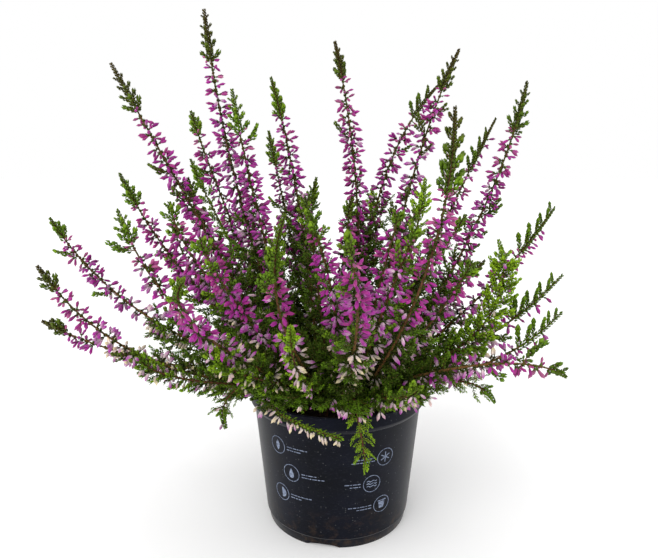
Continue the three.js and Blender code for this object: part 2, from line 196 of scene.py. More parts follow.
world = bpy.data.worlds.new("studio")
world.use_nodes = True
world.node_tree.nodes["Background"].inputs["Color"].default_value = linear("FFFFFF")
world.node_tree.nodes["Background"].inputs["Strength"].default_value = 1.0
bpy.context.scene.world = world
bpy.context.scene.view_settings.view_transform = "Standard"


def add_light(name, kind, place, power, **settings):
    """One light at a place in millimetres, turned to the plant's middle."""
    light = bpy.data.lights.new(name, kind)
    light.energy = power
    for key, value in settings.items():
        setattr(light, key, value)
    holder = bpy.data.objects.new(name, light)
    holder.location = Vector(place) * MM
    aim = Vector(PLANT_MIDDLE) * MM - holder.location
    holder.rotation_euler = aim.to_track_quat("-Z", "Y").to_euler()
    bpy.context.scene.collection.objects.link(holder)


add_light("soft_sun", "SUN", (-350, -600, 900), 0.9, angle=math.radians(35))
add_light("left_lamp", "AREA", (-900, -100, 300), 1.0, size=LAMP_SIZE)
add_light("right_lamp", "AREA", (900, -50, 300), 1.0, size=LAMP_SIZE)
print("light is set")

# %% [markdown]
# ## From bmesh to finished piece
#
# Every finished piece has its object at the origin, with its place in its
# mesh, and rides on the one body of this plant.

# %% Finished pieces
def finish_piece(mesh, name, materials, slot, *replaced):
    """Links a mesh as a piece that rides on the plant's body and replaces CAD nodes."""
    piece = bpy.data.objects.new(name, mesh)
    for material in materials:
        mesh.materials.append(material)
    bpy.context.scene.collection.objects.link(piece)
    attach(piece, "root")
    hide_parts(*replaced)


def mesh_from(bm, name):
    """Scales a bmesh from millimetres to metres and makes a mesh of it."""
    bmesh.ops.scale(bm, vec=(MM, MM, MM), verts=bm.verts)
    mesh = bpy.data.meshes.new(name)
    bm.to_mesh(mesh)
    bm.free()
    return mesh


def count_triangles(mesh):
    """How many triangles the faces of a mesh make."""
    return sum(len(face.vertices) - 2 for face in mesh.polygons)


print("piece helpers ready")

# %% [markdown]
# ## The pot: black polypropylene
#
# A nursery pot is injection moulded from recycled black polypropylene. The
# eye sees a faint blue-black with a soft, uneven gloss, grey scuffs and
# specks of dust, and brown splashes of soil low on the wall. All of it is
# painted by noise in the object's own millimetres, so it stays in place from
# every side.

# %% Material of the pot
SPLASH_TOP = 30.0

pot_plastic, tree = new_material("moulded_black_polypropylene")
place = add_node(tree, "TexCoord", output="Object")
height = add_node(tree, "SeparateXYZ", {0: place}, output="Z")
# clouds of a darker and a lighter black, about 22 mm wide
cloud = add_node(tree, "TexNoise", {"Vector": place, "Scale": cells(22.2), "Detail": 4.0})
body = add_node(tree, "ValToRGB", {"Fac": cloud}, stops=[(0.3, "06080F"), (0.7, "0D101C")])
# scuffs are drawn out round the pot, about 2.5 mm long and 0.8 mm high
drawn_out = add_node(tree, "Mapping", {"Vector": place,
                                       "Scale": [cells(size) for size in (2.5, 2.5, 0.77)]})
streaks = add_node(tree, "TexNoise", {"Vector": drawn_out, "Scale": 1.0, "Detail": 6.0,
                                      "Roughness": 0.7})
scuffs = add_node(tree, "MapRange", {"Value": streaks, "From Min": 0.56, "From Max": 0.8,
                                     "To Max": 0.35})
worn = add_node(tree, "Mix", {"Factor": scuffs, 6: body, 7: linear("50545C")},
                output=2, data_type="RGBA")
# one cell of 1.5 mm in ten holds a speck of dust, about 0.7 mm wide
specks = add_node(tree, "TexVoronoi", {"Vector": place, "Scale": cells(1.54)})
chosen = add_node(tree, "SeparateColor", {0: specks.node.outputs["Color"]})
rare = add_node(tree, "Math", {0: chosen, 1: 0.9}, operation="GREATER_THAN")
near = add_node(tree, "Math", {0: specks, 1: 0.24}, operation="LESS_THAN")
speck = add_node(tree, "Math", {0: rare, 1: near}, operation="MULTIPLY")
speck_share = add_node(tree, "Math", {0: speck, 1: 0.16}, operation="MULTIPLY")
dusty = add_node(tree, "Mix", {"Factor": speck_share, 6: worn, 7: linear("9A9C9C")},
                 output=2, data_type="RGBA")
# soil splashes are about 7 mm wide and fade out towards their top
low_share = add_node(tree, "MapRange", {"Value": height, "From Min": SPLASH_TOP * MM,
                                        "From Max": 0.0, "To Max": 0.6})
splash = add_node(tree, "TexNoise", {"Vector": place, "Scale": cells(7.14), "Detail": 7.0,
                                     "Roughness": 0.75})
splash_share = add_node(tree, "MapRange", {"Value": splash, "From Min": 0.5, "From Max": 0.75})
soiled = add_node(tree, "Math", {0: low_share, 1: splash_share}, operation="MULTIPLY")
colour = add_node(tree, "Mix", {"Factor": soiled, 6: dusty, 7: linear("5B4632")},
                  output=2, data_type="RGBA")
gloss = add_node(tree, "MapRange", {"Value": streaks, "To Min": 0.34, "To Max": 0.62})
bump = add_node(tree, "Bump", {"Height": cloud, "Strength": 0.12, "Distance": 0.4 * MM})
finish_material(tree, Base_Color=colour, Roughness=gloss, Normal=bump, IOR=1.49,
                Specular_IOR_Level=0.06, Sheen_Weight=0.22, Sheen_Roughness=0.35)
print("pot material has", len(tree.nodes), "nodes")

# %% [markdown]
# ## The pot: a spun profile
#
# The mould is round, so the pot is one profile spun about its axis. Its ring
# edges get a small bevel, because no moulded edge is knife sharp.

# %% Spin the pot
POT_HEIGHT = 94.3
RIM_RADIUS = 60.0
RIM_BAND = 8.0
RIM_EDGE = 0.5
LEDGE_HEIGHT = 83.2
LEDGE_STEP = 0.7
TOP_RADIUS = 57.2
BASE_RADIUS = 48.3
FOOT_HEIGHT = 6.2
FOOT_STEP = 0.7
FOOT_TAPER = 1.0
WALL = 1.1
POT_FLOOR = 1.4
COVE_HEIGHT = 4.0
COVE_DEPTH = 1.6
SPIN_STEPS = 120
RIM_INNER = RIM_RADIUS - WALL


def outer_radius(z):
    """The pot's outer radius at a height between foot and ledge."""
    share = (z - FOOT_HEIGHT) / (LEDGE_HEIGHT - FOOT_HEIGHT)
    return mix(BASE_RADIUS + FOOT_TAPER + FOOT_STEP, TOP_RADIUS, share)


def spin_profile(profile, steps):
    """Spins (radius, height) points about the axis into a closed shell."""
    bm = bmesh.new()
    points = [bm.verts.new((radius, 0.0, z)) for radius, z in profile]
    edges = [bm.edges.new(pair) for pair in zip(points, points[1:])]
    bmesh.ops.spin(bm, geom=points + edges, axis=(0, 0, 1), cent=(0, 0, 0),
                   angle=math.tau, steps=steps, use_merge=True)
    bmesh.ops.remove_doubles(bm, verts=bm.verts, dist=0.001)
    bmesh.ops.recalc_face_normals(bm, faces=bm.faces)
    return bm


rim_bottom = POT_HEIGHT - RIM_BAND
cove_top = POT_FLOOR + COVE_HEIGHT
ledge_inside = LEDGE_HEIGHT + WALL
pot_profile = [
    (0, 0),
    (BASE_RADIUS, 0),
    (BASE_RADIUS + FOOT_TAPER, FOOT_HEIGHT),
    (outer_radius(FOOT_HEIGHT + 1), FOOT_HEIGHT + 1),
    (TOP_RADIUS, LEDGE_HEIGHT),
    (TOP_RADIUS + LEDGE_STEP, LEDGE_HEIGHT),
    (RIM_RADIUS, rim_bottom),
    (RIM_RADIUS, POT_HEIGHT - RIM_EDGE),
    (RIM_RADIUS - RIM_EDGE, POT_HEIGHT),
    (RIM_INNER, POT_HEIGHT),
    (RIM_INNER, rim_bottom),
    (outer_radius(ledge_inside) - WALL, ledge_inside),
    (outer_radius(cove_top) - WALL, cove_top),
    (outer_radius(cove_top) - WALL - COVE_DEPTH, POT_FLOOR),
    (0, POT_FLOOR),
]
bm = spin_profile(pot_profile, SPIN_STEPS)
print("profile points:", len(pot_profile))

# %% [markdown]
# Each ring edge of the spun shell is found by the profile point that made
# it. A bevel of a quarter millimetre then rounds the corners of foot, ledge
# and rim, so that light runs along them.

# %% Round the ring edges
RING_NEAR = 0.01
EDGE_ROUND = 0.25
# the numbers in the profile of the foot's, the ledge's and the rim's corners
SOFT_POINTS = (1, 2, 4, 5, 6, 9)


def is_ring_edge(edge, radius, z):
    """True for the edges of the ring that one profile point makes."""
    return all(abs(v.co.z - z) < RING_NEAR and abs(v.co.xy.length - radius) < RING_NEAR
               for v in edge.verts)


softened = [pot_profile[number] for number in SOFT_POINTS]
ring_edges = [e for e in bm.edges if any(is_ring_edge(e, *point) for point in softened)]
bmesh.ops.bevel(bm, geom=ring_edges, offset=EDGE_ROUND, segments=2, profile=0.5,
                affect="EDGES", material=-1)
pot_mesh = mesh_from(bm, "nursery_pot")
print("pot before cutting:", count_triangles(pot_mesh), "triangles")

# %% [markdown]
# ## The pot: notches and drain holes
#
# Water leaves through six holes in the floor and three wide notches in the
# foot. One object holds all nine cutters, and a Boolean modifier takes them
# out of the pot. A notch is narrower at its top, and its cutter goes as far
# below the floor as above it.

# %% Cut the notches and drain holes
NOTCHES = 3
NOTCH_WIDTH = 22.0
NOTCH_TOP = 9.0
NOTCH_HEIGHT = 3.4
NOTCH_DEPTH = 2.6
NOTCH_TURN = -102.0
DRAIN_HOLES = 6
DRAIN_RADIUS = 4.0
DRAIN_CIRCLE = 34.0
DRAIN_SIDES = 24
CUT = 6.0
SHARP_FROM = 30.0

bm = bmesh.new()
for i in range(NOTCHES):
    made = bmesh.ops.create_cube(bm, size=1.0)
    for vert in made["verts"]:
        width = NOTCH_TOP if vert.co.z > 0 else 2 * NOTCH_WIDTH - NOTCH_TOP
        vert.co *= Vector((NOTCH_DEPTH + CUT, width, NOTCH_HEIGHT * 2))
    turn = Matrix.Rotation(math.radians(NOTCH_TURN) + i * math.tau / NOTCHES, 4, "Z")
    shift = Matrix.Translation((BASE_RADIUS + (CUT - NOTCH_DEPTH) / 2, 0, 0))
    bmesh.ops.transform(bm, matrix=turn @ shift, verts=made["verts"])
for i in range(DRAIN_HOLES):
    turn = Matrix.Rotation((i + 0.5) * math.tau / DRAIN_HOLES, 4, "Z")
    shift = Matrix.Translation((DRAIN_CIRCLE, 0, 0))
    bmesh.ops.create_cone(bm, cap_ends=True, segments=DRAIN_SIDES, radius1=DRAIN_RADIUS,
                          radius2=DRAIN_RADIUS, depth=CUT, matrix=turn @ shift)
cutter = bpy.data.objects.new("pot_cutter", mesh_from(bm, "pot_cutter"))
uncut = bpy.data.objects.new("uncut_pot", pot_mesh)
bpy.context.scene.collection.objects.link(cutter)
bpy.context.scene.collection.objects.link(uncut)
cut = uncut.modifiers.new("notches_and_holes", "BOOLEAN")
cut.operation = "DIFFERENCE"
cut.solver = "EXACT"
cut.object = cutter
shown = bpy.context.evaluated_depsgraph_get()
pot_mesh = bpy.data.meshes.new_from_object(uncut.evaluated_get(shown))
pot_mesh.name = "nursery_pot"
bpy.data.objects.remove(uncut)
bpy.data.objects.remove(cutter)
pot_mesh.shade_smooth()
pot_mesh.set_sharp_from_angle(angle=math.radians(SHARP_FROM))
pot_mesh.materials.clear()
finish_piece(pot_mesh, "nursery_pot", [pot_plastic], "pot_plastic", "pot")
print("pot:", count_triangles(pot_mesh), "triangles")

# %% [markdown]
# ## The print on the pot
#
# Growers have care signs pad printed on the wall: a thin pale ink, a little
# worn. Here they are plain rounds with a leaf, a drop, a half disc, a frost
# star, waves and a pot, each beside two rows of dashes. Each sign is drawn
# flat, given the ink's thickness, and then bent round the wall.

# %% Ink
ink, tree = new_material("pad_printed_ink")
place = add_node(tree, "TexCoord", output="Object")
# the ink is rubbed thin in spots about 1.4 mm wide
rubbed = add_node(tree, "TexNoise", {"Vector": place, "Scale": cells(1.43), "Detail": 5.0,
                                     "Roughness": 0.7})
colour = add_node(tree, "ValToRGB", {"Fac": rubbed},
                  stops=[(0.36, "3A4150"), (0.5, "78839A"), (0.7, "98A3B8")])
finish_material(tree, Base_Color=colour, Roughness=0.6, Specular_IOR_Level=0.25)
print("ink has", len(tree.nodes), "nodes")

# %% [markdown]
# Signs could be drawn as curves, but discs and bars of mesh bend round a
# wall more evenly. For that a bar is cut into steps of about a millimetre.

# %% Flat shapes of the signs
DISC_SIDES = 28
INK_STEP = 1.2


def draw_disc(bm, shape):
    """A filled outline; shape turns an angle into its x and y."""
    made = bmesh.ops.create_circle(bm, cap_ends=True, cap_tris=True, segments=DISC_SIDES,
                                   radius=1.0)
    for vert in made["verts"]:
        if vert.co.length > 0.5:
            x, y = shape(math.atan2(vert.co.x, vert.co.y))
            vert.co = (x, y, 0)


def draw_bar(bm, length, height, move, turn=0.0, shape=None):
    """A filled bar, cut into short steps so that it can bend."""
    steps = max(1, math.ceil(length / INK_STEP))
    made = bmesh.ops.create_grid(bm, x_segments=steps, y_segments=1, size=0.5)
    for vert in made["verts"]:
        x, y = vert.co.x * length, vert.co.y * height
        vert.co = (*(shape(x, y) if shape else (x, y)), 0)
    seat = Matrix.Translation((*move, 0)) @ Matrix.Rotation(math.radians(turn), 4, "Z")
    bmesh.ops.transform(bm, matrix=seat, verts=made["verts"])


print("a bar steps every", INK_STEP, "mm")

# %% [markdown]
# Each motif is a small function that draws with discs and bars alone. The
# dashes stand where a printed sign would have its words.

# %% Motifs and dashes
MOTIF_SIZE = 3.5
MOTIF_LINE = 0.6
LEAF_HALF_WIDTH = 1.5
DROP_HALF_WIDTH = 2.6
FROST_TURNS = (30, 90, 150)
WAVE_PLACES = (-1.8, 0, 1.8)
WAVE_SWING = 0.5
DASH_HEIGHT = 0.55
DASH_START = 7.6
DASHES = (2.4, 1.1, 3.0, 1.7, 2.0)
DASH_GAP = 0.55


def draw_leaf(bm):
    """A leaf that is pointed at both ends."""
    draw_disc(bm, lambda a: (LEAF_HALF_WIDTH * math.sin(a) * abs(math.sin(a)),
                             MOTIF_SIZE * math.cos(a)))


def draw_drop(bm):
    """A drop of water with its point up."""
    draw_disc(bm, lambda a: (DROP_HALF_WIDTH * math.sin(a) * abs(math.sin(a / 2)) ** 1.5,
                             MOTIF_SIZE * math.cos(a)))


def draw_half_disc(bm):
    """The right half of a disc, for half shade."""
    draw_disc(bm, lambda a: (max(0.0, math.sin(a)) * MOTIF_SIZE, math.cos(a) * MOTIF_SIZE))


def draw_frost(bm):
    """A plain star of three crossed bars."""
    for turn in FROST_TURNS:
        draw_bar(bm, 2 * MOTIF_SIZE, MOTIF_LINE, (0, 0), turn)


def draw_waves(bm):
    """Three lines of waves."""
    for place in WAVE_PLACES:
        draw_bar(bm, 2 * MOTIF_SIZE, MOTIF_LINE, (0, place),
                 shape=lambda x, y: (x, y + WAVE_SWING * math.sin(x * 1.8)))


def draw_pot(bm):
    """A tapered pot with its rim."""
    draw_bar(bm, 4.0, 4.6, (0, -0.6), shape=lambda x, y: (x * (1 + y * 0.09), y))
    draw_bar(bm, 6.4, 0.8, (0, 2.6))


def draw_dashes(bm, length, side, row, first):
    """A row of dashes beside a sign, which start at one of their lengths."""
    reach = 0.0
    while reach < length:
        dash = DASHES[first % len(DASHES)]
        draw_bar(bm, dash, DASH_HEIGHT, (side * (DASH_START + reach + dash / 2), row))
        reach += dash + DASH_GAP
        first += 1


print("dashes, mm:", DASHES)

# %% [markdown]
# A sign is first drawn flat round its own middle. Its left and right then
# become an angle round the pot and its up and down a height, while the ink's
# thickness stands out from the wall.

# %% Draw the signs and bend them round the wall
INK_LIFT = 0.05
INK_THICKNESS = 0.06
ROUND_RADIUS = 6.0
ROUND_LINE = 0.4
ROUND_SIDES = 48
DASH_ROWS = (1.0, -1.0)
SIGNS = [
    # motif, turn round the pot, height, side of its dashes, lengths of their two rows
    (draw_leaf, -133, 68, 1, (13, 9)),
    (draw_drop, -123, 51, 1, (10, 14)),
    (draw_half_disc, -133, 34, 1, (14, 7)),
    (draw_frost, -58, 63, -1, (11, 15)),
    (draw_waves, -67, 46, -1, (9, 6)),
    (draw_pot, -58, 29, -1, (15, 10)),
]


def bend_on_wall(bm, turn, height):
    """Gives flat ink its thickness and bends it round the pot's wall."""
    bmesh.ops.recalc_face_normals(bm, faces=bm.faces)
    bmesh.ops.solidify(bm, geom=bm.faces[:], thickness=INK_THICKNESS)
    lowest = min(vert.co.z for vert in bm.verts)
    for vert in bm.verts:
        z = height + vert.co.y
        radius = outer_radius(z) + INK_LIFT + vert.co.z - lowest
        angle = math.radians(turn) + vert.co.x / outer_radius(height)
        vert.co = (radius * math.cos(angle), radius * math.sin(angle), z)
    bmesh.ops.recalc_face_normals(bm, faces=bm.faces)


signs = bmesh.new()
for draw, turn, height, side, rows in SIGNS:
    bm = bmesh.new()
    for radius in (ROUND_RADIUS, ROUND_RADIUS - ROUND_LINE):
        bmesh.ops.create_circle(bm, segments=ROUND_SIDES, radius=radius)
    bmesh.ops.bridge_loops(bm, edges=bm.edges[:])
    draw(bm)
    for row, length in zip(DASH_ROWS, rows):
        draw_dashes(bm, length, side, row, length)
    bend_on_wall(bm, turn, height)
    bent = bpy.data.meshes.new("sign")
    bm.to_mesh(bent)
    bm.free()
    signs.from_mesh(bent)
    bpy.data.meshes.remove(bent)
finish_piece(mesh_from(signs, "care_signs"), "care_signs", [ink], "pot_plastic", "pot")
print("signs:", len(SIGNS))

# %% [markdown]
# ## The soil: peat with bark
#
# Potting soil is milled peat with bits of bark. It is nearly black where
# damp, with rust-brown fibres. The surface is a spun disc that noise pushes
# up and down, and loose crumbs lie on it.

# %% Material of the soil
peat, tree = new_material("milled_peat")
place = add_node(tree, "TexCoord", output="Object")
# clods are about 4 mm wide and fibres about 1 mm
clods = add_node(tree, "TexNoise", {"Vector": place, "Scale": cells(3.85), "Detail": 8.0,
                                    "Roughness": 0.7})
fibres = add_node(tree, "TexNoise", {"Vector": place, "Scale": cells(0.91), "Detail": 3.0})
damp = add_node(tree, "ValToRGB", {"Fac": clods},
                stops=[(0.35, "1C130D"), (0.55, "3A281B"), (0.72, "5E432C")])
light = add_node(tree, "MapRange", {"Value": fibres, "From Min": 0.6, "From Max": 0.75,
                                    "To Max": 0.5})
colour = add_node(tree, "Mix", {"Factor": light, 6: damp, 7: linear("7A5A3C")},
                  output=2, data_type="RGBA")
bump = add_node(tree, "Bump", {"Height": clods, "Strength": 0.6, "Distance": 0.8 * MM})
finish_material(tree, Base_Color=colour, Roughness=0.95, Normal=bump)
print("soil material has", len(tree.nodes), "nodes")

# %% [markdown]
# The soil fills the pot nearly to its rim and falls a little towards the
# wall, as watering leaves it. Two sizes of noise make swells and bumps on
# its top, while its edge stays true to the wall.

# %% The soil's surface
SOIL_TOP = 86.5
SOIL_FALL = 2.5
SOIL_RINGS = 22
SOIL_STEPS = 96
SOIL_EDGE = 1.0
SEAT_GAP = 0.3
# the height of the swells and of the small bumps, and how many lie in a millimetre
SWELLS = (0.8, 0.16)
BUMPS = (0.5, 0.5)
SETTLED = 0.5


def soil_height(radius):
    """The soil's height, which falls a little towards the wall."""
    return SOIL_TOP - SOIL_FALL * (radius / TOP_RADIUS) ** 2


soil_edge = outer_radius(soil_height(TOP_RADIUS)) - WALL - SEAT_GAP
soil_profile = [
    (0, POT_FLOOR + SEAT_GAP),
    (outer_radius(cove_top) - WALL - SEAT_GAP - COVE_DEPTH, POT_FLOOR + SEAT_GAP),
    (outer_radius(cove_top) - WALL - SEAT_GAP, cove_top + SEAT_GAP),
    (soil_edge, soil_height(soil_edge) - SOIL_EDGE),
]
for i in range(SOIL_RINGS):
    radius = soil_edge * (1 - i / SOIL_RINGS)
    soil_profile.append((radius, soil_height(radius)))
soil_profile.append((0, SOIL_TOP))
bm = spin_profile(soil_profile, SOIL_STEPS)
for vert in bm.verts:
    radius = vert.co.xy.length
    if vert.co.z > soil_height(radius) - SOIL_EDGE / 2 and radius < soil_edge - SOIL_EDGE / 2:
        lifts = [height * noise.noise(vert.co * often) for height, often in (SWELLS, BUMPS)]
        vert.co.z += sum(lifts) - SETTLED
soil_mesh = mesh_from(bm, "peat_soil")
soil_mesh.shade_smooth()
print("soil:", count_triangles(soil_mesh), "triangles")

# %% [markdown]
# ## Copying small shapes by the thousand
#
# A heather has some fifty thousand leaves. Each is made once as a small
# bmesh, turned into arrays of points and three-cornered faces, and then
# copied by array arithmetic, which is fast and still ends as plain mesh.
# Four marks travel with every point: its age, a random tone, how far along
# its leaf or bud it lies, and how dark it is, which browns a leaf and paints
# shade in the seams of a bud. The materials read them.

# %% Shapes and growths
MARKS = ("age", "tone", "along", "dark")


def to_shape(bm, slot, mark=None):
    """Arrays of a bmesh; mark gives (along, dark) for a point."""
    bmesh.ops.triangulate(bm, faces=bm.faces)
    bmesh.ops.recalc_face_normals(bm, faces=bm.faces)
    bm.verts.index_update()
    points = np.array([v.co for v in bm.verts])
    corners = np.array([[v.index for v in face.verts] for face in bm.faces])
    marks = np.zeros((len(points), len(MARKS)))
    if mark:
        marks[:, 2:] = [mark(point) for point in points]
    bm.free()
    return points, corners, np.full(len(corners), slot), marks


class Growth:
    """Copies of small shapes that together become one shape or one mesh."""

    def __init__(self, box=None):
        self.parts = []
        self.size = 0
        self.box = box

    def add(self, shape, seat=None, age=0.0, tone=0.0, along=0.0, dark=0.0):
        """Adds a copy at a seat, unless part of it would stand out of the box."""
        points, corners, slots, marks = shape
        if seat is not None:
            points = points @ seat[:3, :3].T + seat[:3, 3]
            if self.box and ((points < self.box[0]).any() or (points > self.box[1]).any()):
                return
        marks = marks + (age, tone, along, dark)
        self.parts.append((points, corners + self.size, slots, marks))
        self.size += len(points)

    def to_shape(self):
        """All the copies as one shape, in millimetres."""
        return tuple(np.concatenate(arrays) for arrays in zip(*self.parts))

    def to_mesh(self, name):
        """All the copies as one mesh, in metres, with the marks as its attributes."""
        points, corners, slots, marks = self.to_shape()
        mesh = bpy.data.meshes.new(name)
        mesh.vertices.add(len(points))
        mesh.vertices.foreach_set("co", (points * MM).ravel())
        mesh.loops.add(corners.size)
        mesh.loops.foreach_set("vertex_index", corners.ravel())
        mesh.polygons.add(len(corners))
        mesh.polygons.foreach_set("loop_start", np.arange(0, corners.size, 3))
        mesh.polygons.foreach_set("material_index", slots)
        for column, mark in enumerate(MARKS):
            layer = mesh.attributes.new(mark, "FLOAT", "POINT")
            layer.data.foreach_set("value", marks[:, column].astype(np.float32))
        mesh.update(calc_edges=True)
        mesh.shade_smooth()
        return mesh


print("marks:", MARKS)

# %% [markdown]
# Every copy needs a seat: a matrix that puts its foot in place, points it
# along one way and turns its upper side to another.

# %% Seats
X_AXIS, Y_AXIS, Z_AXIS = np.eye(3)
BOTH_SIDES = (0, math.pi)
QUARTER = math.pi / 2


def unit(vector):
    """The vector at length 1."""
    return vector / np.linalg.norm(vector)


def seat_at(origin, out, up, size=1.0):
    """A matrix that lays +X along out and +Z towards up, at a scale."""
    x = unit(out)
    z = unit(up - np.dot(up, x) * x)
    seat = np.eye(4)
    seat[:3, 0] = x * size
    seat[:3, 1] = np.cross(z, x) * size
    seat[:3, 2] = z * size
    seat[:3, 3] = origin
    return seat


def lay_along_x(bm):
    """Turns an upright shape so that it points along +X."""
    bmesh.ops.rotate(bm, verts=bm.verts, cent=(0, 0, 0), matrix=Matrix.Rotation(QUARTER, 3, "Y"))


print("a seat at the origin:", seat_at(np.zeros(3), X_AXIS, Z_AXIS).tolist()[0])

# %% [markdown]
# ## Round stems by extruding a ring
#
# Stem, branchlet and flower stalk are all the same thing at other sizes: a
# ring of edges that is extruded along a route, each time a little thinner,
# and closed to a point at its end.

# %% Sweep a ring along a route
# the material slots of greenery are wood and leaf, and those of buds are bud and leaf
WOOD, LEAF = 0, 1
BUD = 0


def sweep(points, radii, sides, slot):
    """A round stem through the points, thick as the radii, as a shape."""
    frames = []
    for i, point in enumerate(points):
        ahead = points[min(i + 1, len(points) - 1)] - points[max(i - 1, 0)]
        side = Y_AXIS if abs(unit(ahead)[1]) < 0.9 else X_AXIS
        seat = Matrix(seat_at(point, ahead, side))
        frames.append(seat @ Matrix.Rotation(QUARTER, 4, "Y"))
    bm = bmesh.new()
    bmesh.ops.create_circle(bm, cap_ends=True, segments=sides, radius=1.0)
    bmesh.ops.transform(bm, matrix=frames[0] @ Matrix.Scale(radii[0], 4), verts=bm.verts)
    ring = bm.edges[:]
    last = frames[0] @ Matrix.Scale(radii[0], 4)
    for seat, radius in zip(frames[1:], radii[1:]):
        grown = bmesh.ops.extrude_edge_only(bm, edges=ring)["geom"]
        newest = [g for g in grown if isinstance(g, bmesh.types.BMVert)]
        known = set(newest)
        ring = [g for g in grown if isinstance(g, bmesh.types.BMEdge) and known.issuperset(g.verts)]
        seat = seat @ Matrix.Scale(radius, 4)
        bmesh.ops.transform(bm, matrix=seat @ last.inverted(), verts=newest)
        last = seat
    bmesh.ops.pointmerge(bm, verts=newest, merge_co=Vector(points[-1]))
    return to_shape(bm, slot)


trial_points = np.array([[0, 0, 0], [1, 0, 0], [2, 0, 0.5], [3, 0, 1.5]])
trial = sweep(trial_points, [0.4, 0.4, 0.3, 0.2], 5, WOOD)
print("a short stem has", len(trial[1]), "faces")

# %% [markdown]
# ## Leaves
#
# A heather leaf is a scale 2 to 3 mm long. The leaves of older shoots stand
# open, those of tips are thick and pressed to the stem, and the thousands
# inside the plant are plain points. A leaf has only four or six faces,
# because there are so many of them.

# %% Leaves of three builds
def make_leaf(width, thickness, belly, hook):
    """A spindle leaf 1 long on +X with its back to +Z; hook bends its tip in."""
    bm = bmesh.new()
    bmesh.ops.create_uvsphere(bm, u_segments=3, v_segments=2, radius=1.0)
    lay_along_x(bm)
    for vert in bm.verts:
        share = (vert.co.x + 1) / 2
        middle = 0.01 < share < 0.99
        vert.co.x = belly if middle else share
        vert.co.y *= width / 2
        vert.co.z *= thickness / 2
        vert.co.z -= hook * vert.co.x ** 2
    return to_shape(bm, LEAF, lambda point: (point[0], 0.0))


def make_needle(width, thickness):
    """The plainest leaf, for the thousands inside: a three-sided point."""
    bm = bmesh.new()
    bmesh.ops.create_cone(bm, cap_ends=True, segments=3, radius1=1.0, radius2=0.0, depth=1.0)
    lay_along_x(bm)
    bmesh.ops.translate(bm, verts=bm.verts, vec=(0.5, 0, 0))
    bmesh.ops.scale(bm, verts=bm.verts, vec=(1, width / 2, thickness / 2))
    return to_shape(bm, LEAF, lambda point: (point[0], 0.0))


open_leaf = make_leaf(width=0.42, thickness=0.28, belly=0.42, hook=0.16)
scale_leaf = make_leaf(width=0.72, thickness=0.56, belly=0.52, hook=0.24)
needle_leaf = make_needle(width=0.46, thickness=0.34)
print("faces of a leaf:", len(open_leaf[1]), len(scale_leaf[1]), len(needle_leaf[1]))

# %% [markdown]
# ## Leafy side shoots
#
# Leaves stand in opposite pairs, each pair turned a quarter on from the
# last, so they make four neat rows. Young tips keep them pressed to the
# stem; older side shoots hold them out, which makes the foliage feathery. A
# few shoots of each kind are made, with twigs of their own, and copied.

# %% One leafy shoot
SHOOT_WOOD = (0.34, 0.28, 0.22, 0.15)
TWIG_WOOD = (0.22, 0.2, 0.12)
TWIG_SHARE = (0.3, 0.45)
TWIG_BEND = (25, 50)
TWIG_LEAF = 0.85
WOOD_AGE = 0.3
# how far the feet of leaves stand off the middle of their shoot
THICK_FOOT = 0.4
THIN_FOOT = 0.15
# how much younger than its foot the end of a shoot is
SHOOT_FRESH = 0.25
TWIG_FRESH = 0.3


def shoot_route(length, start, end, steps):
    """Points and directions of a shoot that turns from +X up towards +Z."""
    points = [np.zeros(3)]
    ways = []
    for i in range(steps + 1):
        angle = math.radians(mix(start, end, i / steps))
        ways.append(np.array([math.cos(angle), 0.0, math.sin(angle)]))
        points.append(points[-1] + ways[-1] * length / steps)
    return np.array(points[:-1]), np.array(ways)


def dress(growth, points, ways, rng, leaf, sizes, spread, foot, fresh):
    """Sets pairs of leaves along a shoot; sizes are the leaf lengths at its foot and end."""
    for i, (point, way) in enumerate(zip(points, ways)):
        share = i / (len(points) - 1)
        across = unit(np.cross(way, Y_AXIS + 0.01 * X_AXIS))
        other = np.cross(way, across)
        size = mix(*sizes, share) * rng.uniform(0.88, 1.1)
        tilt = math.radians(mix(spread, spread * 0.4, share ** 2) * rng.uniform(0.85, 1.15))
        for side in BOTH_SIDES:
            turn = i * QUARTER + side + rng.uniform(-0.25, 0.25)
            radial = across * math.cos(turn) + other * math.sin(turn)
            out = way * math.cos(tilt) + radial * math.sin(tilt)
            growth.add(leaf, seat_at(point + radial * foot, out, radial, size),
                       age=-fresh * share, tone=rng.uniform(-0.5, 0.5))


def make_shoot(seed, length, spacing, leaf, sizes, spread, bend, branches=0):
    """A leafy side shoot that leaves its stem along +X and turns up to +Z."""
    rng = random.Random(seed)
    growth = Growth()
    steps = max(3, round(length / spacing))
    points, ways = shoot_route(length, *bend, steps)
    coarse = points[np.linspace(0, steps, len(SHOOT_WOOD)).astype(int)]
    growth.add(sweep(coarse, SHOOT_WOOD, 3, WOOD), age=WOOD_AGE)
    foot = THICK_FOOT if leaf is scale_leaf else THIN_FOOT
    dress(growth, points[1:], ways[1:], rng, leaf, sizes, spread, foot, SHOOT_FRESH)
    for k in range(branches):
        place = 1 + int((steps - 2) * (0.15 + 0.6 * k / branches) + rng.random())
        twig = length * rng.uniform(*TWIG_SHARE)
        twig_steps = max(3, round(twig / spacing))
        twig_points, twig_ways = shoot_route(twig, *TWIG_BEND, twig_steps)
        coarse = twig_points[[0, twig_steps // 2, twig_steps]]
        part = Growth()
        part.add(sweep(coarse, TWIG_WOOD, 3, WOOD), age=WOOD_AGE)
        dress(part, twig_points[1:], twig_ways[1:], rng, leaf, (sizes[0] * TWIG_LEAF, sizes[1]),
              spread, foot * 0.8, TWIG_FRESH)
        side = (1 if k % 2 else -1) * Y_AXIS
        side = side + rng.uniform(-0.5, 0.5) * np.cross(ways[place], Y_AXIS)
        growth.add(part.to_shape(), seat_at(points[place], side + 0.4 * ways[place], ways[place]))
    return growth.to_shape()


print("a twig is", TWIG_SHARE, "of its shoot")

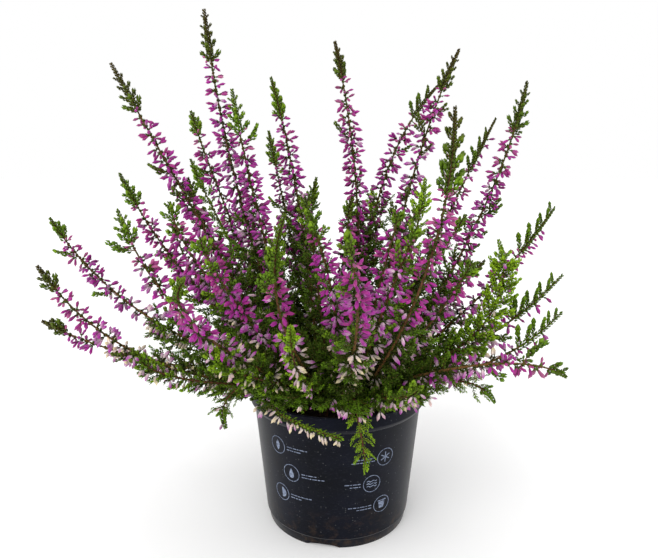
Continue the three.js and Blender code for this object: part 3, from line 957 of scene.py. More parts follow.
# %% [markdown]
# Five kinds of shoots are enough. Inner ones have the plainest leaves, fresh
# and scaly ones clothe the outside, and short fingers and longer fronds stand
# on the green tips. A few of each are grown from seeds of their own, so that
# neighbours differ.

# %% The kinds of shoots
SHOOT_LENGTH = 12.0
FINGER_LENGTH = 5.0
FROND_LENGTH = 9.0

# Each kind: first seed, length, leaf spacing, leaf, leaf lengths at foot and end, how far
# the leaves stand out, the bend of shoot number n at its foot and end, and the number of
# twigs of each shoot.
SHOOT_KINDS = {
    "inner": (0, SHOOT_LENGTH, 1.25, needle_leaf, (2.8, 2.2), 46,
              lambda n: (20 + 4 * (n % 3), 55 + 5 * (n % 4)), (1, 3, 2, 4, 3, 5)),
    "fresh": (10, SHOOT_LENGTH, 1.25, open_leaf, (2.5, 2.3), 52,
              lambda n: (22 + 4 * (n % 3), 58 + 5 * (n % 3)), (0, 2, 3, 3)),
    "scaly": (20, SHOOT_LENGTH, 1.3, scale_leaf, (2.6, 2.8), 38,
              lambda n: (28, 62), (0, 2, 3)),
    "finger": (30, FINGER_LENGTH, 1.0, scale_leaf, (2.1, 3.1), 38,
               lambda n: (36 + 3 * n, 54), (0, 0, 0, 0)),
    "frond": (40, FROND_LENGTH, 1.15, scale_leaf, (2.8, 3.3), 34,
              lambda n: (6 + 5 * n, 14), (0, 0, 0)),
}
shoots = {}
for kind, (seed, *build, bend, twigs) in SHOOT_KINDS.items():
    shoots[kind] = [make_shoot(seed + n, *build, bend(n), count) for n, count in enumerate(twigs)]
    print(kind, "shoots have", [len(shoot[1]) for shoot in shoots[kind]], "faces")

# %% [markdown]
# ## Buds
#
# Each bud is a closed spindle some 6 mm long made of four sepals, so its
# section is a rounded square with four shallow seams. A sphere of few faces
# is pulled into that shape by a formula, ring by ring.

# %% The bud
BUD_LENGTH = 6.7
BUD_WIDTH = 2.4
# the share of the length and of the width at each ring
BUD_RINGS = [(0.0, 0.0), (0.28, 0.74), (0.68, 1.0), (1.0, 0.0)]
SEAM_DEPTH = 0.2
SEPALS = 4


def is_seam(angle):
    """True for the corners of the section that lie between two sepals."""
    return round(angle / math.pi * SEPALS) % 2 == 1


def make_bud(slim, sag, gape):
    """One bud along +X; sag bends its tip down and gape parts its sepals."""
    bm = bmesh.new()
    bmesh.ops.create_uvsphere(bm, u_segments=2 * SEPALS, v_segments=len(BUD_RINGS) - 1, radius=1.0)
    lay_along_x(bm)
    for vert in bm.verts:
        ring = round(math.acos(max(-1.0, min(1.0, -vert.co.x))) / math.pi * (len(BUD_RINGS) - 1))
        share, width = BUD_RINGS[ring]
        angle = math.atan2(vert.co.z, vert.co.y)
        depth = SEAM_DEPTH + gape * share if is_seam(angle) else 0.0
        radius = width * BUD_WIDTH / 2 * slim * (1 - depth)
        end = BUD_LENGTH * (share - (gape * 0.4 if ring == len(BUD_RINGS) - 1 else 0.0))
        vert.co = (end, radius * math.cos(angle), radius * math.sin(angle) - sag * share ** 2)

    def mark(point):
        """How far along the bud a point lies, and 1 in a seam, where the material paints shade."""
        straight = point[2] + sag * (point[0] / BUD_LENGTH) ** 2
        in_seam = math.hypot(point[1], straight) > 0.01 and is_seam(math.atan2(straight, point[1]))
        return point[0] / BUD_LENGTH, 1.0 if in_seam else 0.0

    return to_shape(bm, BUD, mark)


trial = make_bud(slim=1.0, sag=0.5, gape=0.0)
print("a bud has", len(trial[1]), "faces")

# %% [markdown]
# A bud hangs on a short stalk, and two small green bracts hold its foot. Six
# are made, which differ in how slim they are, how far they sag and whether
# their sepals part.

# %% Buds on their stalks
STALK_LENGTH = 1.3
STALK_WOOD = (0.26, 0.34)
BRACT_LENGTH = 2.4


def make_stalked_bud(seed):
    """A bud on its stalk, held by small bracts."""
    rng = random.Random(seed)
    growth = Growth()
    slim = rng.uniform(0.86, 1.1)
    bud = make_bud(slim, sag=rng.uniform(0.1, 0.9), gape=rng.choice((0.0, 0.0, 0.12)))
    stalk = np.array([[0.0, 0, 0], [STALK_LENGTH, 0, 0]])
    growth.add(sweep(stalk, STALK_WOOD, 3, BUD), age=0.55, tone=-0.9)
    growth.add(bud, seat_at(0.8 * X_AXIS, X_AXIS, Z_AXIS))
    for side in BOTH_SIDES:
        turn = side + 0.6
        radial = Y_AXIS * math.cos(turn) + Z_AXIS * math.sin(turn)
        seat = seat_at(0.5 * X_AXIS + 0.2 * radial, X_AXIS + 0.42 * radial, radial, BRACT_LENGTH)
        growth.add(needle_leaf, seat, age=0.3, dark=0.25, tone=rng.uniform(0.0, 0.8))
    return growth.to_shape()


single_buds = [make_stalked_bud(seed) for seed in range(6)]
print("a stalked bud has", len(single_buds[0][1]), "faces")

# %% [markdown]
# ## Clusters of buds
#
# Buds stand alone or in little clusters that splay from the end of a short
# branchlet. Its first leaves are scales, which clothe the foot of the
# cluster. Five clusters of each count are made and copied.

# %% Clusters of buds
BRANCHLET_WOOD = (0.4, 0.34, 0.28)
CLUSTER_SPLAY = 34


def make_cluster(seed, count):
    """Buds that splay from the end of a branchlet, which rises from its stem."""
    rng = random.Random(seed)
    growth = Growth()
    length = rng.uniform(0.8, 2.0) + 0.35 * count
    rise = rng.uniform(0.3, 0.9)
    points = np.array([[0, 0, 0], [length * 0.55, 0, length * 0.5 * rise],
                       [length, 0, length * 0.75 * rise]])
    growth.add(sweep(points, BRANCHLET_WOOD, 3, LEAF), age=0.35, dark=0.5)
    for k in range(count):
        share = (k + 0.5) / count
        lift = math.radians(mix(-CLUSTER_SPLAY, CLUSTER_SPLAY, share) + rng.uniform(-18, 18))
        swing = math.radians(rng.uniform(8, 50) * (1 if k % 2 else -1) if count > 1 else 0)
        out = np.array([math.cos(lift) * math.cos(swing), math.sin(swing), math.sin(lift)])
        seat = seat_at(mix(points[1], points[2], share), out, Z_AXIS, rng.uniform(0.86, 1.06))
        growth.add(rng.choice(single_buds), seat, tone=rng.uniform(-0.5, 0.5),
                   age=rng.uniform(-0.12, 0.12))
    for side in (-1, 1):
        out = X_AXIS + side * 0.9 * Y_AXIS
        growth.add(scale_leaf, seat_at(points[1], out, Z_AXIS, 1.9), age=0.35, dark=0.25, tone=0.4)
        out = Z_AXIS + 0.5 * X_AXIS + side * 0.7 * Y_AXIS
        growth.add(scale_leaf, seat_at(0.2 * X_AXIS, out, X_AXIS, 2.4), age=0.4, dark=0.3)
    return growth.to_shape()


clusters = {count: [make_cluster(100 * count + seed, count) for seed in range(5)]
            for count in (1, 2, 3, 4)}
cluster_reach = {count: np.mean([shape[0][:, 0].max() for shape in shapes])
                 for count, shapes in clusters.items()}
print("reach of the clusters, mm:", {k: round(float(v), 1) for k, v in cluster_reach.items()})

# %% [markdown]
# ## Materials of the plant
#
# Three living surfaces need a finish, and each reads the marks, so one
# material serves thousands of copies. Leaves are waxy and go from yellow
# green on new growth to near black green on old growth, which deep inside
# also paints the shade of the bush. Their ends are a little paler, and a
# mark of dark browns them.

# %% Leaf material
leaf_green, tree = new_material("waxy_heather_leaf")
age, tone, along, dark = [add_node(tree, "Attribute", output="Fac", attribute_name=mark)
                          for mark in MARKS]
# the near black green at the old end is also painted shade for the leaves deep inside
green = add_node(tree, "ValToRGB", {"Fac": age},
                 stops=[(0.0, "86AC18"), (0.3, "567E12"), (0.62, "38500E"), (1.0, "1C3209")])
brown = add_node(tree, "Mix", {"Factor": dark, 6: green, 7: linear("38200F")},
                 output=2, data_type="RGBA")
tip_share = add_node(tree, "Math", {0: along, 1: 0.16}, operation="MULTIPLY")
tipped = add_node(tree, "Mix", {"Factor": tip_share, 6: brown, 7: linear("909A3C")},
                  output=2, data_type="RGBA")
value = add_node(tree, "Math", {0: tone, 1: 0.45, 2: 1.0}, operation="MULTIPLY_ADD")
colour = add_node(tree, "HueSaturation", {"Value": value, "Color": tipped})
finish_material(tree, Base_Color=colour, Roughness=0.5, Specular_IOR_Level=0.14)
print("leaf material has", len(tree.nodes), "nodes")

# %% [markdown]
# Buds have dry, papery sepals with a soft sheen: rosy when young, magenta in
# their prime, then pale pink, and cream when old. The seams between the
# sepals get a painted shade that darkens their grooves, and the foot of an
# older bud is nearly white.

# %% Bud material
sepal, tree = new_material("papery_heather_sepal")
age, tone, along, dark = [add_node(tree, "Attribute", output="Fac", attribute_name=mark)
                          for mark in MARKS]
bloom = add_node(tree, "ValToRGB", {"Fac": age},
                 stops=[(0.0, "B05C88"), (0.14, "A02C7C"), (0.4, "9C1E8C"), (0.68, "A63CA0"),
                        (0.86, "C28AB4"), (1.0, "DCCEA2")])
foot = add_node(tree, "MapRange", {"Value": along, "From Min": 0.8, "From Max": 0.2})
past = add_node(tree, "MapRange", {"Value": age, "From Min": 0.36, "From Max": 0.75,
                                   "To Max": 0.95})
foot_share = add_node(tree, "Math", {0: foot, 1: past}, operation="MULTIPLY")
pale = add_node(tree, "Mix", {"Factor": foot_share, 6: bloom, 7: linear("EEE0DC")},
                output=2, data_type="RGBA")
# painted shade darkens the grooves of the seams, which the dark mark finds
seam_shade_share = add_node(tree, "Math", {0: dark, 1: 0.35}, operation="MULTIPLY")
seam_shaded = add_node(tree, "Mix", {"Factor": seam_shade_share, 6: pale, 7: linear("5A0E4A")},
                  output=2, data_type="RGBA")
value = add_node(tree, "Math", {0: tone, 1: 0.55, 2: 1.14}, operation="MULTIPLY_ADD")
colour = add_node(tree, "HueSaturation", {"Value": value, "Color": seam_shaded})
finish_material(tree, Base_Color=colour, Roughness=0.4, Sheen_Weight=0.1,
                Sheen_Roughness=0.4, Specular_IOR_Level=0.25)
print("bud material has", len(tree.nodes), "nodes")

# %% [markdown]
# Stems are wood under fine bark, rough and red-brown. Green ends are olive,
# and the oldest wood is weathered to a paler brown.

# %% Stem material
bark, tree = new_material("heather_bark")
age = add_node(tree, "Attribute", output="Fac", attribute_name="age")
place = add_node(tree, "TexCoord", output="Object")
# the grain is about 0.7 mm wide and 4 mm long
drawn_out = add_node(tree, "Mapping", {"Vector": place,
                                       "Scale": [cells(size) for size in (0.714, 0.714, 3.85)]})
grain = add_node(tree, "TexNoise", {"Vector": drawn_out, "Scale": 1.0, "Detail": 4.0})
wood = add_node(tree, "ValToRGB", {"Fac": age},
                stops=[(0.0, "4E4C1C"), (0.16, "5E3C2A"), (0.5, "66442A"), (0.75, "74522E"),
                       (1.0, "8A7044")])
flecks = add_node(tree, "MapRange", {"Value": grain, "From Min": 0.35, "From Max": 0.7,
                                     "To Min": 0.5, "To Max": 1.45})
colour = add_node(tree, "HueSaturation", {"Value": flecks, "Color": wood})
finish_material(tree, Base_Color=colour, Roughness=0.75, Specular_IOR_Level=0.15)
print("stem material has", len(tree.nodes), "nodes")

# %% [markdown]
# ## Where the stems run
#
# Every stem stands in its hole in the soil, so its foot is read from the
# frame: the four lowest corners of the CAD solid that lie at one height.
# From there it rises, leans over at an elbow and follows one smooth curve
# through its middle point to its tip, exactly as the solid does.

# %% Flowering stems
# Each row: middle point, tip, length of the green tip, the tip's look.
FLOWERING = [
    ((-66, 8, 224), (-87, 20, 342), 32, "olive"),
    ((-52, -5, 212), (-68, 5, 290), 27, "green"),
    ((-26, 22, 210), (-46, 35, 302), 27, "green"),
    ((-34, 44, 188), (-51, 62, 268), 24, "green"),
    ((14, 18, 208), (-2, 30, 324), 24, "olive"),
    ((-86, -22, 208), (-137, -15, 302), 31, "olive"),
    ((-103, 10, 166), (-151, 25, 237), 24, "green"),
    ((-89, -50, 152), (-128, -45, 217), 20, "green"),
    ((-76, 35, 202), (-108, 60, 282), 18, "green"),
    ((-84, 22, 175), (-107, 38, 234), 14, "dark"),
    ((4, 2, 172), (10, 10, 222), 14, "dark"),
    ((-135, 10, 140), (-198, 16, 207), 16, "green"),
    ((-118, -42, 126), (-177, -46, 184), 16, "olive"),
    ((-124, -15, 115), (-194, -15, 142), 16, "olive"),
    ((-78, -40, 174), (-99, -40, 221), 10, "green"),
    ((-84, -4, 156), (-109, 2, 206), 10, "green"),
    ((-69, -95, 156), (-68, -135, 192), 14, "green"),
    ((-59, -66, 168), (-75, -68, 203), 8, "green"),
    ((-32, -85, 167), (-26, -110, 219), 34, "green"),
    ((-4, -76, 172), (-21, -85, 226), 18, "green"),
    ((8, -105, 165), (1, -150, 210), 6, "green"),
    ((24, -48, 172), (36, -40, 215), 8, "green"),
    ((25, -70, 165), (43, -64, 208), 8, "green"),
    ((45, -85, 189), (59, -70, 271), 46, "ruddy"),
    ((56, -55, 155), (76, -52, 188), 10, "green"),
    ((48, 12, 225), (81, 25, 318), 28, "olive"),
    ((31, 38, 223), (75, 50, 301), 30, "comb"),
    ((91, 0, 203), (119, 0, 294), 28, "dark"),
    ((82, 45, 206), (118, 60, 277), 42, "comb"),
    ((102, 10, 156), (147, 10, 215), 36, "fern"),
    ((94, -18, 130), (143, -20, 174), 40, "fern"),
    ((88, -40, 120), (135, -42, 155), 32, "fern"),
    ((88, -65, 130), (129, -68, 123), 12, "small"),
    ((-90, 46, 140), (-138, 66, 175), 16, "green"),
    ((-78, 68, 155), (-118, 96, 212), 18, "olive"),
    ((-54, 82, 158), (-86, 122, 204), 16, "green"),
    ((-22, 88, 164), (-34, 142, 212), 18, "olive"),
    ((14, 90, 158), (22, 142, 204), 16, "green"),
    ((48, 78, 162), (75, 120, 212), 18, "olive"),
    ((70, 60, 158), (108, 95, 203), 18, "green"),
    ((82, 56, 134), (120, 76, 168), 16, "dark"),
]
print(len(FLOWERING), "flowering stems")

# %% [markdown]
# Leafy stems have no flower spike. Some are light green, some are twigs, and
# a few hang over the rim. Those with bud clusters carry them faded.

# %% Leafy stems
# Each row: middle point, tip, the tip's look, build, number of bud clusters and their age.
LEAFY = [
    ((-81, 62, 182), (-119, 98, 248), "green", "scaly", 0, 0.0),
    ((-20, 40, 168), (-15, 52, 234), "green", "slender", 0, 0.0),
    ((23, 48, 178), (28, 72, 226), "bright", "slender", 0, 0.0),
    ((42, -18, 170), (56, -5, 234), "bright", "slender", 0, 0.0),
    ((92, -30, 145), (96, -34, 198), "bright", "bushy", 12, 0.6),
    ((-100, -48, 116), (-122, -52, 136), "green", "scaly", 16, 0.75),
    ((-112, 18, 114), (-136, 25, 130), "dark", "scaly", 8, 0.9),
    ((-53, -72, 126), (-72, -86, 149), "bright", "slender", 16, 0.9),
    ((-22, -80, 130), (-25, -104, 164), "bright", "slender", 14, 0.75),
    ((74, -45, 112), (96, -46, 98), "twig", "twiggy", 0, 0.0),
    ((32, -72, 112), (40, -98, 128), "green", "slender", 16, 0.85),
    ((-62, -42, 106), (-70, -44, 80), "twig", "twiggy", 6, 0.85),
    ((10, -67, 103), (16, -78, 70), "fresh", "feathery", 0, 0.0),
    ((-38, -57, 99), (3, -76, 89), "fresh", "garland", 26, 1.0),
    ((34, 70, 116), (58, 108, 118), "dark", "inner", 0, 0.0),
    ((-30, 70, 114), (-50, 110, 122), "dark", "inner", 0, 0.0),
    ((-12, -16, 156), (-18, -18, 206), "dark", "inner", 0, 0.0),
]
print(len(LEAFY), "leafy stems")

# %% [markdown]
# The tips of a heather differ: some are olive and browned, some fresh green,
# and some hold their side shoots in a comb on their upper side. One word for
# each kind keeps the rows of stems short.

# %% Looks of the tips
# What a word for a tip gives: the age and the browning of its leaves at its foot and
# end, how much of it has side fingers, and how large they are at its foot and end. The
# gap between fingers is in millimetres; a comb has them all on its upper side. A bloom
# below nothing makes the buds that much younger. Full is the size of the scale leaves
# on the tip's own stem.
TIP_LOOKS = {
    "olive": {"age": (0.6, 0.7), "dark": (0.4, 1.0), "clothed": 0.92, "finger": (1.15, 0.36)},
    "dark": {"age": (0.6, 0.6), "dark": (0.15, 0.6), "clothed": 0.9, "finger": (1.2, 0.4)},
    "green": {"age": (0.4, 0.4), "dark": (0.05, 0.4), "clothed": 0.88, "finger": (1.2, 0.45)},
    "small": {"age": (0.5, 0.4), "dark": (0.1, 0.4), "clothed": 0.8, "finger": (0.9, 0.5),
              "bloom": -0.35},
    "twig": {"age": (0.45, 0.35), "dark": (0.0, 0.1), "clothed": 0.7, "finger": (0.7, 0.4)},
    "fresh": {"age": (0.2, 0.05), "dark": (0.1, 0.0), "clothed": 0.5, "finger": (0.6, 0.45),
              "full": 0.55},
    "bright": {"age": (0.2, 0.15), "dark": (0.0, 0.1), "clothed": 0.8, "finger": (1.2, 0.6)},
    "ruddy": {"age": (0.5, 0.55), "dark": (0.1, 0.9), "clothed": 0.9, "finger": (1.6, 0.7),
              "gap": 5.4},
    "fern": {"age": (0.5, 0.42), "dark": (0.05, 0.15), "clothed": 1.0, "finger": (1.15, 0.62),
             "gap": 5.4, "is_comb": True, "full": 0.85},
    "comb": {"age": (0.6, 0.6), "dark": (0.1, 0.6), "clothed": 0.85, "finger": (1.0, 0.5),
             "gap": 4.8, "is_comb": True, "full": 0.85},
}
print("looks of tips:", ", ".join(TIP_LOOKS))

# %% [markdown]
# A stem's place could be written down once more, but then it might drift
# from the CAD model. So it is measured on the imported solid, whose root ends
# in the lowest four corners of one height.

# %% The foot of a stem
def stem_foot(name):
    """Where a CAD stem stands: its lowest four corners at one height."""
    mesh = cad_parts[name].data
    points = np.empty(len(mesh.vertices) * 3)
    mesh.vertices.foreach_get("co", points)
    points = np.unique((points.reshape(-1, 3) / MM).round(2), axis=0)
    for z in np.unique(points[:, 2]):
        corners = points[points[:, 2] == z]
        if len(corners) == 4:
            return corners[:, :2].mean(axis=0)
    raise ValueError(f"{name} has no foot")


print("foot of the first spray, mm:", stem_foot("flowering_spray_01").round(1).tolist())

# %% [markdown]
# One curve from root to tip would be easy, but a stem leaves the soil nearly
# upright. So its line has a straight foot, a short curve at the elbow, and a
# long curve from there to the tip.

# %% The line of a stem
# the root lies below the soil, the straight foot and the elbow end above it
ROOT_DEPTH = 9.0
STRAIGHT = 3.5
ELBOW = 14.0
ROUNDING = 0.16
CURVE_STEPS = 60


def bezier(a, b, c):
    """Points of a quadratic curve from a to c that is drawn towards b."""
    t = np.linspace(0, 1, CURVE_STEPS)[:, None]
    return (1 - t) ** 2 * a + 2 * t * (1 - t) * b + t ** 2 * c


class Route:
    """The line that a stem follows, measured in millimetres from its root."""

    def __init__(self, foot, middle, tip):
        x, y = foot
        ground = soil_height(math.hypot(x, y))
        root, lean, elbow = [np.array([x, y, ground + h]) for h in (-ROOT_DEPTH, STRAIGHT, ELBOW)]
        middle, tip = np.array(middle, float), np.array(tip, float)
        control = 2 * middle - 0.5 * elbow - 0.5 * tip
        start = mix(mix(elbow, control, ROUNDING), mix(control, tip, ROUNDING), ROUNDING)
        upper = bezier(start, mix(control, tip, ROUNDING), tip)
        self.points = np.concatenate([[root], bezier(lean, elbow, start), upper[1:]])
        steps = np.linalg.norm(np.diff(self.points, axis=0), axis=1)
        self.lengths = np.concatenate([[0], np.cumsum(steps)])
        self.length = self.lengths[-1]
        self.bend_end = self.lengths[CURVE_STEPS]
        self.side = unit(np.cross(middle - elbow, Z_AXIS))

    def at(self, length):
        """Point and direction at a length along the stem."""
        here, before, after = [
            np.array([np.interp(max(0.0, min(self.length, at)), self.lengths, axis)
                      for axis in self.points.T])
            for at in (length, length - 0.5, length + 0.5)]
        return here, unit(after - before)

    def around(self, length, turn):
        """Point, direction, and the way out of the stem at a turn round it."""
        here, way = self.at(length)
        across = unit(self.side - np.dot(self.side, way) * way)
        normal = np.cross(way, across)
        return here, way, normal * math.cos(turn) - across * math.sin(turn)


print("a line has", 2 * CURVE_STEPS, "points")

# %% [markdown]
# The names of the CAD nodes tie each row to its solid. Every line is worked
# out once, for all that grows on it.

# %% All the stems
names = [f"flowering_spray_{i + 1:02d}" for i in range(len(FLOWERING))]
names += [f"leafy_shoot_{i + 1:02d}" for i in range(len(LEAFY))]
routes = {name: Route(stem_foot(name), row[0], row[1])
          for name, row in zip(names, FLOWERING + LEAFY)}
print("stem lengths, mm:", round(min(r.length for r in routes.values())), "to",
      round(max(r.length for r in routes.values())))

# %% [markdown]
# ## Keeping clear
#
# Every leaf and bud stays in the box of the CAD model. Side shoots and buds
# also keep off the pot and the soil, and off the lines from the camera to
# the thickest front stems, which stand in the open.

# %% Clear of the pot
POT_MARGIN = 2.0
plant_box = [np.array(corner) / MM for corner in (cad_low, cad_high)]


def is_clear_of_pot(point):
    """True where a shoot's end stays off the pot and the soil."""
    reach = math.hypot(point[0], point[1])
    if point[2] > POT_HEIGHT + POT_MARGIN or reach > RIM_RADIUS + POT_MARGIN:
        return True
    return reach < RIM_INNER - POT_MARGIN and point[2] > soil_height(reach) + POT_MARGIN


print("box of the plant, mm:", [corner.round(1).tolist() for corner in plant_box])

# %% [markdown]
# Four thick stems show their wood at the front. A line is drawn to the
# camera from every few millimetres of them, and side shoots and buds that
# would come near such a line are left out.

# %% Stems that stay in sight
# the thickest front stems show their wood over these lengths
SHOWN_STEMS = {
    "flowering_spray_19": (46.0, 120.0),
    "flowering_spray_21": (84.0, 120.0),
    "flowering_spray_24": (40.0, 128.0),
    "flowering_spray_33": (70.0, 100.0),
}
SIGHT_STEP = 3.0
SIGHT_MARGIN = 3.2


def sight_lines(spans):
    """Points every few millimetres on the given spans of stems, and the ways to the camera."""
    points = np.array([routes[name].at(length)[0] for name, (start, end) in spans.items()
                       for length in np.arange(start, end, SIGHT_STEP)])
    ways = np.array(camera.location) / MM - points
    return points, ways / np.linalg.norm(ways, axis=1)[:, None]


sight_from, sight_ways = sight_lines(SHOWN_STEMS)


def hides_stem(point):
    """True for a place in front of a stretch of stem that stands in the open."""
    apart = point - sight_from
    ahead = (apart * sight_ways).sum(axis=1)
    off_line = np.linalg.norm(apart - ahead[:, None] * sight_ways, axis=1)
    return ((ahead > 0.5) & (off_line < SIGHT_MARGIN)).any()


print("lines of sight:", len(sight_from))

# %% [markdown]
# ## Parts of a spray
#
# A flowering spray is a woody stem with leafy side shoots low down, bud
# clusters above them, and a green tip of scale leaves. Pairs stand opposite
# each other and every pair is turned on from the last. A side shoot that
# would run into the pot or the soil is made shorter or left out.

# %% The woody stem
STEM_RADIUS = 1.05
STEM_TIP_RADIUS = 0.42
STEM_SIDES = 7
STEM_STEP = 5.0
STEM_END = 0.6
# over this height a stem goes from old wood to a green end
WOOD_HEIGHT = 130


def add_stem(growth, route, oldest=1.0):
    """The woody stem, brown and rough low down, thin and olive at its tip."""
    count = max(8, round(route.length / STEM_STEP))
    lengths = np.linspace(0, route.length - STEM_END, count)
    line = np.array([route.at(length)[0] for length in lengths])
    radii = [mix(STEM_RADIUS, STEM_TIP_RADIUS, share) for share in np.linspace(0, 1, count)]
    points, corners, slots, marks = sweep(line, radii, STEM_SIDES, WOOD)
    marks[:, 0] = np.clip(1.05 - (points[:, 2] - SOIL_TOP) / WOOD_HEIGHT, 0.1, 1.0) * oldest
    growth.add((points, corners, slots, marks))


print("a stem is", 2 * STEM_RADIUS, "mm thick at its root")

# %% [markdown]
# A side shoot leaves its stem at a turn and reaches out and up. Where its
# end would run into the pot, it is tried again with a shorter reach.

# %% A side shoot
# a side shoot is tried at these shares of its reach
REACH_TRIES = (1.0, 0.65, 0.4)


def add_shoot(growth, route, length, turn, reach, kinds, rng, age, dark=0.0):
    """A leafy side shoot whose end lies about reach from the stem, less where the pot is near."""
    here, way, out = route.around(length, turn)
    reach *= rng.uniform(0.85, 1.05)
    for share in REACH_TRIES:
        end = here + (out * 0.8 + way * 0.6) * reach * share
        halfway = mix(here, end, 0.5)
        if hides_stem(end) or hides_stem(halfway):
            return
        if is_clear_of_pot(end) and is_clear_of_pot(halfway):
            up = way + rng.uniform(-0.25, 0.25) * np.cross(way, out)
            seat = seat_at(here + out * 0.3, out, up, reach * share / (SHOOT_LENGTH * 0.86))
            growth.add(rng.choice(kinds), seat, age=age + rng.uniform(-0.1, 0.1), dark=dark)
            return


print("side shoots are tried at", REACH_TRIES, "of their reach")

# %% [markdown]
# On a green tip the side shoots are short and thick. Most stand in pairs,
# like fingers. On comb-like tips they are longer fronds, which all rise from
# the upper side.

# %% Fingers and fronds of a green tip
# a finger nearly in line with its stem is swung aside
IN_LINE = 0.85


def add_finger(growth, route, length, turn, size, rng, age, dark):
    """One thick side shoot of a tip; on a leaning stem it stands up straighter."""
    here, way, out = route.around(length, turn)
    lean = 1 - abs(way[2])
    up = unit(way + 0.9 * lean * Z_AXIS)
    out = unit(out + rng.uniform(-0.15, 0.2) * way + 0.5 * lean * Z_AXIS)
    if abs(np.dot(out, up)) > IN_LINE:
        out = unit(out + 0.8 * np.cross(way, up))
    size *= 1 + 0.3 * out[2] * lean
    seat = seat_at(here + out * 0.4, out, up, size)
    growth.add(rng.choice(shoots["finger"]), seat, age=age + rng.uniform(-0.08, 0.08), dark=dark)


def add_frond(growth, route, length, swing, size, rng, age, dark):
    """One long finger that stands up from the upper side of a leaning stem."""
    here, way = route.at(length)
    across = unit(np.cross(way, Z_AXIS))
    up = np.cross(across, way)
    out = unit(Z_AXIS + 0.5 * up + swing * across + rng.uniform(-0.1, 0.25) * way)
    growth.add(rng.choice(shoots["frond"]), seat_at(here, out, way, size),
               age=age + rng.uniform(-0.08, 0.08), dark=dark)


print("fingers of", FINGER_LENGTH, "mm, fronds of", FROND_LENGTH, "mm")

# %% [markdown]
# Scale leaves clothe the stem between its buds and cover the tip in four
# rows. They get smaller towards its end, which a single leaf closes.

# %% Scale leaves and the green tip
SCALE_SPACING = 3.0
TIP_LEAF = 2.4
# at the foot and the end of a tip: the degrees that its leaves stand out, their length,
# how far they stand off the middle, and the step from pair to pair
TIP_TILTS = (38, 27)
TIP_SIZES = (3.6, 2.1)
TIP_OFFSETS = (0.95, 0.4)
TIP_STEPS = (1.15, 1.0)
TIP_END = 1.4


def add_scales(growth, route, start, end, rng, spacing=SCALE_SPACING, tilts=(8, 26),
               sizes=(1.4, 2.4), ages=(0.35, 0.65), darks=(0.15, 0.75)):
    """Small scale leaves that clothe the stem, brown-green between its buds."""
    for i in range(round((end - start) / spacing)):
        for side in BOTH_SIDES:
            here, way, out = route.around(start + i * spacing, i * QUARTER + side)
            tilt = math.radians(rng.uniform(*tilts))
            seat = seat_at(here + out * 0.5, way * math.cos(tilt) + out * math.sin(tilt), out,
                           rng.uniform(*sizes))
            growth.add(scale_leaf, seat, age=rng.uniform(*ages), dark=rng.uniform(*darks),
                       tone=rng.uniform(-0.5, 0.5))


def add_tip(growth, route, start, look, rng, full=1.0):
    """The green tip: four rows of scale leaves round a thinning stem."""
    length = start
    pair = 0
    span = route.length - start
    while length < route.length - TIP_END:
        share = (length - start) / span
        tilt = math.radians(mix(*TIP_TILTS, share))
        size = min(mix(*TIP_SIZES, share) * full, (route.length - length) * 1.05)
        for side in BOTH_SIDES:
            turn = pair * QUARTER + side + rng.uniform(-0.15, 0.15)
            here, way, out = route.around(length, turn)
            ahead = way * math.cos(tilt) + out * math.sin(tilt)
            seat = seat_at(here + out * mix(*TIP_OFFSETS, share), ahead, out, size)
            growth.add(scale_leaf, seat, age=mix(*look["age"], share),
                       dark=mix(*look["dark"], share), tone=rng.uniform(-0.5, 0.5))
        length += mix(*TIP_STEPS, share)
        pair += 1
    here, way, out = route.around(route.length - TIP_LEAF, 0.0)
    growth.add(scale_leaf, seat_at(here, way, out, TIP_LEAF), age=look["age"][1],
               dark=look["dark"][1])


print("a tip ends in a leaf of", TIP_LEAF, "mm")

# %% [markdown]
# Fingers or fronds stand at even gaps along the tip, with the scaly stem in
# their middle. How large, old and brown they are is read from the tip's look.

# %% The leafy end of a stem
FINGER_SPACING = 3.4
FROND_SWING = 0.5


def add_green_end(growth, route, start, look, rng):
    """The leafy end of a stem: thick fingers in crossed pairs round a scaly tip."""
    clothed = (route.length - start) * look["clothed"]
    spacing = look.get("gap", FINGER_SPACING)
    age = look["age"][0]
    for i in range(round(clothed / spacing)):
        share = i * spacing / clothed
        length = start + clothed * share - 2
        size, dark = mix(*look["finger"], share), mix(*look["dark"], share)
        if look.get("is_comb", False):
            swing = FROND_SWING if i % 2 else -FROND_SWING
            add_frond(growth, route, length, swing, size, rng, age, dark)
            continue
        for side in BOTH_SIDES:
            add_finger(growth, route, length, i * QUARTER + side, size, rng, age, dark)
    add_tip(growth, route, start - 3, look, rng, look.get("full", 1.0))


print("fingers stand", FINGER_SPACING, "mm apart")

# %% [markdown]
# ## Buds along a stem
#
# Buds nod, more so on a leaning stem, and fewer stand on its upper side.
# Those near the front are a little smaller. Buds are rosy at the tip,
# magenta below, and fade towards the pot, where more of them are dry.

# %% A cluster on its stem
# buds shrink to NEAR_SIZE between one and two NEAR_REACH in front of the middle
NEAR_SIZE = 0.8
NEAR_REACH = 60.0
# this share of clusters is OLDER, and three times as many past the age OLD_FROM
OLD_BUDS = 0.1
OLD_FROM = 0.6
OLDER = 0.3


